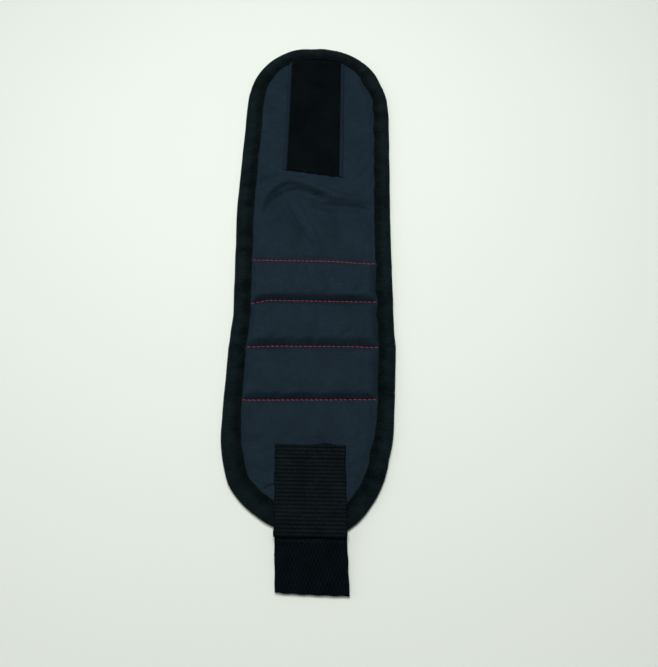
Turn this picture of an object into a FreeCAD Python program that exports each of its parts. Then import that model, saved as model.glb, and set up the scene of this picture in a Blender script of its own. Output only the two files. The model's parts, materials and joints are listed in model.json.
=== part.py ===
import FreeCAD, Part
import math
import os

import Sketcher

# A wristband that holds pins by magnets, laid out flat with its wrist side down.
# X runs across the band, +Y along it towards the loop patch end, +Z away from the wrist.
# Stations are distances along the band from its tip, at the loop patch end.
# The band bends only at ten lines across it, so each layer is cut into one piece for each panel between them.

SIZES = {
    "overall": 342,  # tip to the free end of the hook tape
    "band_length": 313.8,
    "band_width": 90,
    "near_corner": 74,  # the strap end is longer than a half circle: two flatter arcs and a rounder one
    "near_end": 43,
    # Bending lines, by station
    "flap_bend_1": 30,
    "flap_bend_2": 62,
    "flap_bend_3": 100,
    "flap_bend_4": 130,
    "row_bend_1": 160.4,
    "row_bend_2": 186,
    "row_bend_3": 213.6,
    "row_bend_4": 244.3,
    "base_bend": 279,
    "tail_bend": 315.9,
    "bend_gap": 1.25,  # a panel's end to its bending line
    "bend_height": 1.7,
    # Layers, from the wrist side up
    "tape": 0.6,  # thickness of the folded binding tape
    "lining": 1,
    "lining_edge": 0.4,  # lining squeezed inside the binding
    "shell": 2.4,  # cloth laminated to thin foam
    "shell_edge": 1.8,
    "binding_leg": 9.5,
    "binding_fold": 1.5,
    # Channels
    "cloth": 0.6,
    "plateau_height": 6.4,
    "plateau_width": 65,
    "slope": 4.5,  # along the band, a stitched row to the plateau
    "tongue": 0.8,  # how far the sewn-down cloth reaches past the row
    "magnet_length": 20,
    "magnet_width": 10,
    "magnet_thickness": 2,
    "magnet_pitch": 21,
    # Red stitched rows
    "thread": 0.35,
    "thread_width": 0.5,
    "stitch": 2,
    "stitch_pitch": 2.55,
    "row_stitches": 28,
    # Loop patch
    "patch_start": 10,
    "patch_end": 98.6,
    "patch_width": 36,
    "patch_shift": -2.5,  # its middle, across the band
    "patch": 1.5,
    # Strap
    "strap_shift": 1.7,
    "tail_shift": 3.2,  # the free end leans a little to one side
    "webbing_start": 268.6,
    "webbing_end": 315.4,
    "webbing_width": 36,
    "webbing": 1.4,
    "strap_stitches": 12,
    "upper_seam": 271,
    "lower_seam": 305.5,
    "hook_tape_width": 36,
    "hook_tape": 1,
    "root_start": 314,
    "tail_length": 24.85,
    "tail_rise": 0.775,
    "hook_width": 32,
    "hook_margin": 1.25,
    "hooks": 1.4,
}

PANELS = [
    ("flap_1", "-Sizes.bend_gap", "Sizes.flap_bend_1"),
    ("flap_2", "Sizes.flap_bend_1", "Sizes.flap_bend_2"),
    ("flap_3", "Sizes.flap_bend_2", "Sizes.flap_bend_3"),
    ("flap_4", "Sizes.flap_bend_3", "Sizes.flap_bend_4"),
    ("flap_5", "Sizes.flap_bend_4", "Sizes.row_bend_1"),
    ("channel_1", "Sizes.row_bend_1", "Sizes.row_bend_2"),
    ("channel_2", "Sizes.row_bend_2", "Sizes.row_bend_3"),
    ("channel_3", "Sizes.row_bend_3", "Sizes.row_bend_4"),
    ("base_1", "Sizes.row_bend_4", "Sizes.base_bend"),
    ("base_2", "Sizes.base_bend", "Sizes.tail_bend + Sizes.bend_gap"),
]

doc = FreeCAD.newDocument("wrist_pin_holder")
sheet = doc.addObject("Spreadsheet::Sheet", "Sizes")
for row, (alias, value) in enumerate(SIZES.items(), start=1):
    sheet.set(f"A{row}", alias)
    sheet.set(f"B{row}", str(value))
    sheet.setAlias(f"B{row}", alias)
doc.recompute()

nodes = []

# Heights and outlines that several pieces share, as expressions
GROOVE_HALF = "Sizes.band_width / 2 - Sizes.binding_fold"
FIELD_HALF = "Sizes.band_width / 2 - Sizes.binding_leg"
SHELL_EDGE_TOP = "Sizes.lining + Sizes.shell_edge"
BAND_TOP = "Sizes.lining + Sizes.shell"
SEAM_LOW = "Sizes.bend_height - Sizes.cloth / 2"
SEAM_TOP = "Sizes.bend_height + Sizes.cloth / 2"


def size(alias):
    return float(sheet.get(alias))


def station_y(station):
    return f"Sizes.overall / 2 - ({station})"


def bind(piece, bindings):
    for name, expression in bindings.items():
        piece.setExpression(name, expression)


def node(piece, label):
    piece.Label = label
    nodes.append(piece)
    return piece


def box(name, x_size, y_size, z_size, x_low, y_low, z_low):
    """A Part::Box with every size and place bound to the sheet."""
    block = doc.addObject("Part::Box", name)
    bind(block, {"Length": x_size, "Width": y_size, "Height": z_size})
    bind(block, {"Placement.Base.x": x_low, "Placement.Base.y": y_low, "Placement.Base.z": z_low})
    return block


def common(name, base, tool):
    cut = doc.addObject("Part::Common", name)
    cut.Base, cut.Tool = base, tool
    return cut


def flat_sketch(body, name, height, shift_x="0", shift_y="0"):
    """A sketch on the body's own XY plane, raised to height."""
    sketch = body.newObject("Sketcher::SketchObject", name)
    plane = next(item for item in body.Origin.OriginFeatures if item.Role == "XY_Plane")
    sketch.AttachmentSupport = [(plane, "")]
    sketch.MapMode = "FlatFace"
    offsets = {"x": shift_x, "y": shift_y, "z": height}
    bind(sketch, {f"AttachmentOffset.Base.{axis}": text for axis, text in offsets.items()})
    return sketch


def dimension(sketch, name, kind, *rest):
    """A named driving constraint: the last item is its expression."""
    *where, expression = rest
    value = float(sketch.evalExpression(expression))
    index = sketch.addConstraint(Sketcher.Constraint(kind, *where, value))
    sketch.renameConstraint(index, name)
    sketch.setExpression(f"Constraints.{name}", expression)


def rectangle(body, name, width, depth, height, shift_x="0", shift_y="0"):
    """A rectangle centred on its shift from the body's origin."""
    sketch = flat_sketch(body, name, height, shift_x, shift_y)
    corners = [FreeCAD.Vector(x, y, 0) for x, y in ((-1, -1), (1, -1), (1, 1), (-1, 1))]
    for first in range(4):
        sketch.addGeometry(Part.LineSegment(corners[first], corners[(first + 1) % 4]))
    for first in range(4):
        sketch.addConstraint(Sketcher.Constraint("Coincident", first, 2, (first + 1) % 4, 1))
        sketch.addConstraint(Sketcher.Constraint("Horizontal" if first % 2 == 0 else "Vertical", first))
    sketch.addConstraint(Sketcher.Constraint("Symmetric", 0, 1, 2, 1, -1, 1))
    dimension(sketch, "width", "DistanceX", 0, 1, 0, 2, width)
    dimension(sketch, "depth", "DistanceY", 1, 1, 1, 2, depth)
    return sketch


def band_outline(body, name, inset, height):
    """The band's outline drawn in by inset: a half-round far end, straight sides and a longer strap end."""
    sketch = flat_sketch(body, name, height)
    drawn_in = float(sketch.evalExpression(inset))
    half = size("band_width") / 2 - drawn_in
    corner, end = size("near_corner") - drawn_in, size("near_end") - drawn_in
    far_y = size("overall") / 2 - size("band_width") / 2
    end_y = size("overall") / 2 - size("band_length") + size("near_end")
    corner_x = half - corner
    corner_y = end_y + math.sqrt((corner - end) ** 2 - corner_x**2)
    turn = math.atan2(end_y - corner_y, -corner_x)

    def arc(x, y, radius, first, last):
        circle = Part.Circle(FreeCAD.Vector(x, y, 0), FreeCAD.Vector(0, 0, 1), radius)
        return sketch.addGeometry(Part.ArcOfCircle(circle, first, last))

    def side(x, first, last):
        return sketch.addGeometry(Part.LineSegment(FreeCAD.Vector(x, first, 0), FreeCAD.Vector(x, last, 0)))

    far = arc(0, far_y, half, 0, math.pi)
    left = side(-half, far_y, corner_y)
    left_corner = arc(-corner_x, corner_y, corner, math.pi, math.pi - turn)
    near = arc(0, end_y, end, math.pi - turn, 2 * math.pi + turn)
    right_corner = arc(corner_x, corner_y, corner, 2 * math.pi + turn, 2 * math.pi)
    right = side(half, corner_y, far_y)
    loop = [far, left, left_corner, near, right_corner, right]
    for first, second in zip(loop, loop[1:] + loop[:1]):
        sketch.addConstraint(Sketcher.Constraint("Tangent", first, 2, second, 1))
    for line in (left, right):
        sketch.addConstraint(Sketcher.Constraint("Vertical", line))
    for centred in (far, near):
        sketch.addConstraint(Sketcher.Constraint("PointOnObject", centred, 3, -2))
    dimension(sketch, "far_radius", "Radius", far, f"Sizes.band_width / 2 - ({inset})")
    dimension(sketch, "near_radius", "Radius", near, f"Sizes.near_end - ({inset})")
    for word, bend in (("left", left_corner), ("right", right_corner)):
        dimension(sketch, f"{word}_radius", "Radius", bend, f"Sizes.near_corner - ({inset})")
    dimension(sketch, "far_centre", "DistanceY", -1, 1, far, 3, station_y("Sizes.band_width / 2"))
    near_centre = station_y("Sizes.band_length - Sizes.near_end")
    dimension(sketch, "near_centre", "DistanceY", near, 3, -1, 1, f"-({near_centre})")
    return sketch


def feature(body, kind, name, profile, length):
    """A Pad (upwards) or a Pocket (downwards) of the profile. A pocket that cuts nothing raises."""
    doc.recompute()
    before = body.Shape.Volume if body.Tip else 0.0
    made = body.newObject(f"PartDesign::{kind}", name)
    made.Profile = profile
    made.setExpression("Length", length)
    doc.recompute()
    if kind == "Pocket" and body.Shape.Volume > before - 1.0:
        raise ValueError(f"{name} cut nothing")
    return made


def loft(body, kind, name, lower, upper):
    made = body.newObject(f"PartDesign::{kind}", name)
    made.Profile = lower
    made.Sections = [upper]
    doc.recompute()
    return made


def repeat_across(body, originals, pitch, count):
    """Repeats features along the body's X axis and makes the pattern the body's tip."""
    pattern = body.newObject("PartDesign::LinearPattern", f"{body.Name}_repeat")
    pattern.Originals = originals
    x_axis = next(item for item in body.Origin.OriginFeatures if item.Role == "X_Axis")
    pattern.Direction = (x_axis, [""])
    bind(pattern, {"Length": f"({pitch}) * ({count} - 1)", "Occurrences": count})
    body.Tip = pattern
    doc.recompute()
    return pattern


def whole_lining():
    body = doc.addObject("PartDesign::Body", "whole_lining")
    edge = band_outline(body, "lining_edge_outline", "Sizes.binding_fold", "Sizes.tape")
    feature(body, "Pad", "lining_edge_pad", edge, "Sizes.lining_edge")
    field = band_outline(body, "lining_field_outline", "Sizes.binding_leg", "0")
    feature(body, "Pad", "lining_field_pad", field, "Sizes.lining")
    return body


def whole_shell():
    body = doc.addObject("PartDesign::Body", "whole_shell")
    edge = band_outline(body, "shell_edge_outline", "Sizes.binding_fold", "Sizes.lining")
    feature(body, "Pad", "shell_edge_pad", edge, "Sizes.shell_edge")
    field = band_outline(body, "shell_field_outline", "Sizes.binding_leg", "Sizes.lining")
    feature(body, "Pad", "shell_field_pad", field, "Sizes.shell")
    return body


def whole_binding():
    """Tape folded round the edge: a C in section, open inwards."""
    body = doc.addObject("PartDesign::Body", "whole_binding")
    outside = band_outline(body, "binding_outside", "0", "0")
    feature(body, "Pad", "binding_pad", outside, BAND_TOP)
    inside = band_outline(body, "binding_inside", "Sizes.binding_leg", BAND_TOP)
    feature(body, "Pocket", "binding_window", inside, BAND_TOP)
    groove = band_outline(body, "binding_groove_outline", "Sizes.binding_fold", SHELL_EDGE_TOP)
    feature(body, "Pocket", "binding_groove", groove, f"{SHELL_EDGE_TOP} - Sizes.tape")
    return body


def whole_patch():
    """The loop patch, cut at its far end to the binding's inner edge."""
    strip = box(
        "patch_strip",
        "Sizes.patch_width",
        "Sizes.patch_end - Sizes.patch_start",
        "Sizes.patch",
        "Sizes.patch_shift - Sizes.patch_width / 2",
        station_y("Sizes.patch_end"),
        BAND_TOP,
    )
    body = doc.addObject("PartDesign::Body", "patch_limit")
    field = band_outline(body, "patch_limit_outline", "Sizes.binding_leg", BAND_TOP)
    feature(body, "Pad", "patch_limit_pad", field, "Sizes.patch")
    return common("whole_patch", strip, body)


def whole_webbing():
    return box(
        "whole_webbing",
        "Sizes.webbing_width",
        "Sizes.webbing_end - Sizes.webbing_start",
        "Sizes.webbing",
        "Sizes.strap_shift - Sizes.webbing_width / 2",
        station_y("Sizes.webbing_end"),
        BAND_TOP,
    )


def slab(name, start, end, side=0):
    """The space of one panel, between its two bending lines. side -1 or 1 takes its left or right half."""
    width = "Sizes.band_width" if side == 0 else "Sizes.band_width / 2"
    x_low = "0" if side > 0 else "-Sizes.band_width / 2"
    length = f"({end}) - ({start}) - 2 * Sizes.bend_gap"
    y_low = f"{station_y(end)} + Sizes.bend_gap"
    return box(name, width, length, "2 * Sizes.plateau_height", x_low, y_low, "0")


def channel_length(start, end):
    return f"({end}) - ({start}) - 2 * Sizes.bend_gap"


def pillow(body, kind, name, length, inset):
    """A pillow over a channel, or its hollow: a low block and a frustum up to the plateau.

    inset is the cloth's thickness for the hollow, and 0 for the outside."""
    block_top = f"{SHELL_EDGE_TOP} - {inset}"
    plateau = f"Sizes.plateau_height - {inset}"
    across = f"2 * ({GROOVE_HALF} - {inset})"
    field = f"2 * ({FIELD_HALF} - {inset})"
    along = f"{length} - 2 * {inset}"
    if kind == "Additive":
        block = rectangle(body, f"{name}_block", across, along, "Sizes.lining")
        feature(body, "Pad", f"{name}_low", block, f"{block_top} - Sizes.lining")
    else:
        block = rectangle(body, f"{name}_block", across, along, block_top)
        feature(body, "Pocket", f"{name}_low", block, f"{block_top} - Sizes.lining")
    foot = rectangle(body, f"{name}_foot", field, along, block_top)
    top_width = f"Sizes.plateau_width - 2 * {inset}"
    top_length = f"{along} - 2 * Sizes.slope"
    head = rectangle(body, f"{name}_head", top_width, top_length, plateau)
    loft(body, f"{kind}Loft", f"{name}_slope", foot, head)


def channel_shell(name, start, end, rows):
    """Cloth over a channel pad. rows has 1 for a tongue sewn down at the upper row, and -1 at the lower."""
    body = doc.addObject("PartDesign::Body", f"shell_{name}_body")
    length = channel_length(start, end)
    pillow(body, "Additive", f"{name}_outside", length, "0")
    pillow(body, "Subtractive", f"{name}_hollow", length, "Sizes.cloth")
    for side in rows:
        reach = "Sizes.bend_gap + Sizes.tongue + Sizes.cloth"
        middle = f"{side} * (({length}) / 2 - Sizes.cloth + ({reach}) / 2)"
        field = f"2 * ({FIELD_HALF})"
        flat = rectangle(body, f"{name}_tongue_{side + 1}", field, reach, SEAM_LOW, "0", middle)
        feature(body, "Pad", f"{name}_tongue_pad_{side + 1}", flat, "Sizes.cloth")
    body.setExpression("Placement.Base.y", station_y(f"(({start}) + ({end})) / 2"))
    return node(body, f"shell_{name}")


def channel_pad(name, start, end):
    """Foam that fills the cloth, with a recess for each magnet."""
    body = doc.addObject("PartDesign::Body", f"pad_{name}_body")
    pillow(body, "Additive", f"{name}_foam", channel_length(start, end), "Sizes.cloth")
    recess = magnet_outline(body, f"{name}_recess", "Sizes.plateau_height - Sizes.cloth")
    cut = feature(body, "Pocket", f"{name}_recess_cut", recess, "Sizes.magnet_thickness")
    repeat_across(body, [cut], "Sizes.magnet_pitch", "3")
    body.setExpression("Placement.Base.y", station_y(f"(({start}) + ({end})) / 2"))
    return node(body, f"pad_{name}")


def magnet_outline(body, name, height):
    return rectangle(body, name, "Sizes.magnet_length", "Sizes.magnet_width", height, "-Sizes.magnet_pitch")


def channel_magnets(name, start, end):
    body = doc.addObject("PartDesign::Body", f"magnets_{name}_body")
    low = "Sizes.plateau_height - Sizes.cloth - Sizes.magnet_thickness"
    outline = magnet_outline(body, f"{name}_magnet_outline", low)
    block = feature(body, "Pad", f"{name}_magnet", outline, "Sizes.magnet_thickness")
    repeat_across(body, [block], "Sizes.magnet_pitch", "3")
    body.setExpression("Placement.Base.y", station_y(f"(({start}) + ({end})) / 2"))
    return node(body, f"magnets_{name}")


def stitch_line(label, station, height, middle, count):
    """One line of stitches across the band, as short thread blocks."""
    body = doc.addObject("PartDesign::Body", f"{label}_body")
    first = f"-Sizes.stitch_pitch * ({count} - 1) / 2"
    dash = rectangle(body, f"{label}_dash", "Sizes.stitch", "Sizes.thread_width", height, first)
    pad = feature(body, "Pad", f"{label}_thread", dash, "Sizes.thread")
    repeat_across(body, [pad], "Sizes.stitch_pitch", count)
    bind(body, {"Placement.Base.x": middle, "Placement.Base.y": station_y(station)})
    return node(body, label)


def hook_tape_root():
    """The hook tape's sewn end, under the webbing where that passes the band's end."""
    root = box(
        "hook_tape_root_box",
        "Sizes.hook_tape_width",
        "Sizes.webbing_end - Sizes.root_start",
        "Sizes.hook_tape",
        "Sizes.strap_shift - Sizes.hook_tape_width / 2",
        station_y("Sizes.webbing_end"),
        f"{BAND_TOP} - Sizes.hook_tape",
    )
    return node(root, "hook_tape_root")


def tail_block(label, width, length, thickness, margin, drop):
    """A block of the strap's free end, which slopes down until its hooks meet the surface it lies on."""
    block = doc.addObject("Part::Box", f"{label}_box")
    bind(block, {"Length": width, "Width": length, "Height": thickness})
    slope = math.asin(size("tail_rise") / size("tail_length"))
    rest = size("hooks") * math.cos(slope) - size("hook_margin") * math.sin(slope)
    along = FreeCAD.Vector(0, math.cos(slope), math.sin(slope))
    normal = FreeCAD.Vector(0, -math.sin(slope), math.cos(slope))
    end = FreeCAD.Vector(0, -size("overall") / 2, rest)
    low = end + along * margin - normal * drop
    turn = FreeCAD.Rotation(FreeCAD.Vector(1, 0, 0), math.degrees(slope))
    block.Placement = FreeCAD.Placement(low, turn)
    block.setExpression("Placement.Base.x", f"Sizes.tail_shift - ({width}) / 2")
    return node(block, label)


lining, shell, binding = whole_lining(), whole_shell(), whole_binding()
patch, webbing = whole_patch(), whole_webbing()

patch_panels = ["flap_1", "flap_2", "flap_3"]
webbing_panels = ["base_1", "base_2"]
round_ends = ["flap_1", "base_2"]

for name, start, end in PANELS:
    space = slab(f"space_{name}", start, end)
    node(common(f"lining_{name}_cut", lining, space), f"lining_{name}")
    if name in round_ends:
        node(common(f"binding_{name}_cut", binding, space), f"binding_{name}")
    else:
        for side, word in ((-1, "left"), (1, "right")):
            half = slab(f"{word}_{name}", start, end, side)
            node(common(f"binding_{word}_{name}_cut", binding, half), f"binding_{word}_{name}")
    if name.startswith("channel"):
        channel_shell(name, start, end, (1, -1) if name == "channel_3" else (1,))
        channel_pad(name, start, end)
        channel_magnets(name, start, end)
    else:
        node(common(f"shell_{name}_cut", shell, space), f"shell_{name}")
    if name in patch_panels:
        number = patch_panels.index(name) + 1
        node(common(f"patch_{number}_cut", patch, space), f"loop_patch_{number}")
    if name in webbing_panels:
        number = webbing_panels.index(name) + 1
        node(common(f"webbing_{number}_cut", webbing, space), f"webbing_{number}")

for number in range(1, 5):
    bend = f"Sizes.row_bend_{number}"
    stitch_line(f"row_stitching_{number}", bend, SEAM_TOP, "0", "Sizes.row_stitches")

webbing_top = f"{BAND_TOP} + Sizes.webbing"
for word in ("upper", "lower"):
    seam = f"Sizes.{word}_seam"
    stitch_line(f"strap_stitching_{word}", seam, webbing_top, "Sizes.strap_shift", "Sizes.strap_stitches")

hook_tape_root()
tail_block("hook_tape_tail", "Sizes.hook_tape_width", "Sizes.tail_length", "Sizes.hook_tape", 0, 0)
hook_length = "Sizes.tail_length - 2 * Sizes.hook_margin"
tail_block("hook_field", "Sizes.hook_width", hook_length, "Sizes.hooks", size("hook_margin"), size("hooks"))

doc.recompute()

for item in doc.Objects:
    if "Invalid" in item.State or "Error" in item.State:
        raise ValueError(f"{item.Label} failed: {item.State}")
for piece in nodes:
    if piece.Shape.isNull() or not piece.Shape.isValid() or piece.Shape.Volume <= 0:
        raise ValueError(f"{piece.Label} has no valid solid")

os.makedirs("parts", exist_ok=True)
for piece in nodes:
    piece.Shape.exportStep(f"parts/{piece.Label}.step")
    bounds = piece.Shape.BoundBox
    print(
        f"{piece.Label:26s} {len(piece.Shape.Solids):3d} solids {piece.Shape.Volume:9.1f} mm3  "
        f"x {bounds.XMin:7.2f} {bounds.XMax:7.2f}  y {bounds.YMin:8.2f} {bounds.YMax:8.2f}  "
        f"z {bounds.ZMin:5.2f} {bounds.ZMax:5.2f}"
    )
print(len(nodes), "nodes")
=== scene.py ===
import json
import math
import random
from types import SimpleNamespace

import bpy
import numpy as np
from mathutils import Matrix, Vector


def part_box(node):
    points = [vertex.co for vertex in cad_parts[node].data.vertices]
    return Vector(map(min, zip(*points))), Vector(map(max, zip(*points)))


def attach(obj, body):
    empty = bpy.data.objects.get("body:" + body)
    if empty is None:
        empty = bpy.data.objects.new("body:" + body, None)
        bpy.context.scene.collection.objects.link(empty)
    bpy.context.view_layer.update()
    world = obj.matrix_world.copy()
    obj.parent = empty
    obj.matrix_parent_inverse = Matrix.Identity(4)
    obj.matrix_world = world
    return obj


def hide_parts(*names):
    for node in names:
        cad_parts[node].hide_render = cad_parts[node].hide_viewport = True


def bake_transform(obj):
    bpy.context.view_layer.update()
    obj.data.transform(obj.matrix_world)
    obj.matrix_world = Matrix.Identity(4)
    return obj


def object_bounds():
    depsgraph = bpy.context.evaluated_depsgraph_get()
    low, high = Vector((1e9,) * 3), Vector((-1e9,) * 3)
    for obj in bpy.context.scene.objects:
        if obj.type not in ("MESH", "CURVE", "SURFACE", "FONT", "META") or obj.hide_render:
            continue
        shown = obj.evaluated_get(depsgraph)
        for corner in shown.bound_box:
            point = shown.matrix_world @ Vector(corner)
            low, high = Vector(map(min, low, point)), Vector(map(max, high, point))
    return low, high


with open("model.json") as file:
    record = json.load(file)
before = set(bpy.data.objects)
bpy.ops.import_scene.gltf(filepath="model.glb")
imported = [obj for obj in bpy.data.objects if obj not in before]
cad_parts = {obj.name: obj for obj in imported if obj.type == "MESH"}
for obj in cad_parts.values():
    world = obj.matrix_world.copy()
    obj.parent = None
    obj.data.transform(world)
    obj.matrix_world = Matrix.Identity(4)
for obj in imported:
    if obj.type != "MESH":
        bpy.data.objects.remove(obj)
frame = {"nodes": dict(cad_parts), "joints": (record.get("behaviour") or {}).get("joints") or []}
cad_low, cad_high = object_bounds()

# Lengths below are in millimetres unless they say otherwise, and MM turns them into metres.
# X runs across the band, +Y along it to the loop tape's end, +Z away from the wrist.
# A station is the distance along the band from its tip, at the loop tape's end.
MM = 0.001
TOP_Y = cad_high.y / MM


def box(node):
    """The low and high corners of a CAD node in millimetres."""
    return [SimpleNamespace(x=at.x / MM, y=at.y / MM, z=at.z / MM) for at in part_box(node)]


PANELS = ["flap_1", "flap_2", "flap_3", "flap_4", "flap_5"]
PANELS += ["channel_1", "channel_2", "channel_3", "base_1", "base_2"]
BENDS = ["flap_bend_1", "flap_bend_2", "flap_bend_3", "flap_bend_4"]
BENDS += ["row_1_bend", "row_2_bend", "row_3_bend", "row_4_bend", "base_bend"]
ROWS = (4, 5, 6, 7)  # which of the bends are stitched rows
JOINTS = {joint["name"]: joint for joint in frame["joints"]}
BEND_Y = [JOINTS[name]["pos_m"][1] / MM for name in BENDS]
BEND_Z = JOINTS["row_1_bend"]["pos_m"][2] / MM
ROW_Y = [BEND_Y[index] for index in ROWS]
SEAM_Y = [(first + second) / 2 for first, second in zip(BEND_Y, BEND_Y[1:])]

# The band's outline, as in the CAD solids
HALF = box("binding_right_flap_3")[1].x
BAND_END_Y = box("binding_base_2")[0].y
FAR_Y = TOP_Y - HALF
CORNER = 74  # the strap end is longer than a half circle: two flatter arcs and a rounder one
NEAR = 43
NEAR_Y = BAND_END_Y + NEAR
CORNER_X = HALF - CORNER
CORNER_Y = NEAR_Y + math.sqrt((CORNER - NEAR) ** 2 - CORNER_X**2)
CORNER_TURN = math.atan2(NEAR_Y - CORNER_Y, -CORNER_X)

# Heights of the layers
FIELD_TOP = box("shell_flap_3")[1].z
EDGE_TOP = FIELD_TOP - 0.6  # the shell squeezed inside the binding
PLATEAU = box("shell_channel_2")[1].z
SEAM_TOP = BEND_Z + 0.7
LINING_TOP = 1.0
LEG = 9.9  # the binding's fold to its inner edge
UPPER_SLOPE = (4.0, 4.6, 4.6)  # how far each channel's cloth climbs from the row above it
LOWER_SLOPE = (3.6, 4.9, 3.6)  # from the row below it
SIDE_SLOPE = 5.2  # and from the binding

# The edge's waver: how far each side stands out from the plain outline, down the band
LEFT_WAVER = [(0, 3.4), (12, 2.7), (35, 0.7), (100, 1.9), (125, 2.4), (195, -0.4), (215, 0.9)]
LEFT_WAVER += [(290, 1.6), (305, -0.2)]
RIGHT_WAVER = [(0, 1.1), (8, 0), (29, -2.3), (55, -0.4), (140, -0.5), (205, 0.6), (213, 1.4)]
RIGHT_WAVER += [(240, 0.4), (276, -1.4), (292, -0.6), (300, 0.3), (311, 2.8)]
TIP_SHIFT = -2.6

# Folds in the cloth between the loop tape and the first row: points as (x, station), height, spread
FOLD_DEPTH = 3.9
FOLDS = [
    ([(-36, 131), (-29, 115), (-18, 106), (-4, 109), (10, 116), (22, 121)], 1.15, 2.7),
    ([(-33, 133), (-25, 121), (-15, 114), (-3, 116), (6, 121)], -0.95, 2.6),
    ([(-17, 115), (-9, 130), (4, 154)], -1.0, 3.2),
    ([(-25, 124), (-16, 138), (-8, 152)], 0.55, 4.0),
    ([(-2, 124), (8, 136), (14, 150)], 0.5, 4.5),
    ([(-6, 121), (10, 124), (24, 125), (38, 128)], -0.8, 2.3),
    ([(4, 117), (20, 118), (37, 121)], 0.45, 3.0),
    ([(-37, 108), (-30, 104), (-21, 102)], -0.4, 2.5),
]


def smooth(value):
    value = np.clip(value, 0, 1)
    return value * value * (3 - 2 * value)


def bell(value, width):
    return np.exp(-((value / width) ** 2))


def round_over(share):
    """A quarter circle's height, for share from 0 to 1."""
    return np.sqrt(1 - (1 - share) ** 2)


def waves(seed, count, shortest, longest):
    """A smooth random field: a sum of plane waves, about -1 to 1."""
    draw = random.Random(seed)
    parts = [
        (draw.uniform(0, 2 * math.pi), draw.uniform(shortest, longest), draw.uniform(0, 2 * math.pi))
        for _ in range(count)
    ]

    def field(x, y):
        total = 0
        for angle, length, phase in parts:
            along = x * math.cos(angle) + y * math.sin(angle)
            total = total + np.sin(2 * math.pi * along / length + phase)
        return total / math.sqrt(2 * count)

    return field


SOFT_WAVES = waves(3, 9, 22, 60)
SMALL_WAVES = waves(5, 12, 7, 17)
ROW_WAVES = waves(7, 9, 4, 11)
EDGE_WAVES = waves(11, 9, 7, 16)
TAPE_WAVES = waves(13, 9, 9, 26)
PLEAT_WAVES = waves(17, 8, 4, 9)


def plain_inset(x, y):
    """The distance in from the outline of the CAD solids."""
    across = np.abs(x)
    far = HALF - np.hypot(x, y - FAR_Y)
    side = HALF - across
    turn = np.arctan2(y - CORNER_Y, across - CORNER_X)
    corner = CORNER - np.hypot(across - CORNER_X, y - CORNER_Y)
    near = NEAR - np.hypot(x, y - NEAR_Y)
    low = np.where((turn >= CORNER_TURN) & (turn <= 0), corner, near)
    return np.where(y > FAR_Y, far, np.where(y > CORNER_Y, side, low))


def waver(x, station):
    """How far the edge stands out from the outline, at a station and on x's side."""
    share = 0.5 + 0.5 * np.clip((x - TIP_SHIFT) / 9, -1, 1)
    left, right = (np.interp(station, *zip(*side)) for side in (LEFT_WAVER, RIGHT_WAVER))
    middle = -1.4 * bell(x + 6.5, 7.5) * (station < 60)
    return left * (1 - share) + right * share + middle


def inset(x, y):
    """The distance in from the band's edge."""
    return plain_inset(x, y) + waver(x, TOP_Y - y)


def row_y(row, x):
    """Where a stitched row runs: not quite straight."""
    drift = [
        -1.3 * smooth((x - 6) / 30),
        -2.2 * smooth((-x - 25) / 10),
        0.5 * x / 35 - 0.5 * smooth((abs(x) - 20) / 15),
        0.8 * x / 35,
    ]
    return ROW_Y[row] + drift[row]


def spline(points, steps=14):
    """A smooth line through the points (Catmull-Rom)."""
    points = [np.array(point, float) for point in points]
    ends = [2 * points[0] - points[1]] + points + [2 * points[-1] - points[-2]]
    line = []
    for index in range(1, len(ends) - 2):
        before, start, end, after = ends[index - 1 : index + 3]
        for step in range(steps):
            t = step / steps
            line.append(
                0.5
                * (
                    2 * start
                    + (end - before) * t
                    + (2 * before - 5 * start + 4 * end - after) * t**2
                    + (3 * start - before - 3 * end + after) * t**3
                )
            )
    line.append(points[-1])
    return np.array(line)


def fold_height(x, y):
    total = np.zeros_like(x)
    for points, height, spread in FOLDS:
        line = spline([(across, TOP_Y - station) for across, station in points])
        nearest = np.full(x.shape, 1e9)
        share = np.zeros_like(x)
        for index, (across, along) in enumerate(line):
            gap = (x - across) ** 2 + (y - along) ** 2
            closer = gap < nearest
            nearest = np.where(closer, gap, nearest)
            share = np.where(closer, index / (len(line) - 1), share)
        taper = smooth(share / 0.25) * smooth((1 - share) / 0.3)
        total += FOLD_DEPTH * height * taper * np.exp(-nearest / (0.85 * spread) ** 2)
    return total


def rise(distance, length, rounding=1.35):
    """A pillow's side: a slope from the seam up to its flat top."""
    share = np.clip(distance / length, 0, 1)
    return 1 - (1 - share) ** rounding


def soft_least(first, second, reach=0.12):
    """The lesser of two, rounded where they cross."""
    gap = np.clip(0.5 + 0.5 * (second - first) / reach, 0, 1)
    return second * (1 - gap) + first * gap - reach * gap * (1 - gap)


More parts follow.
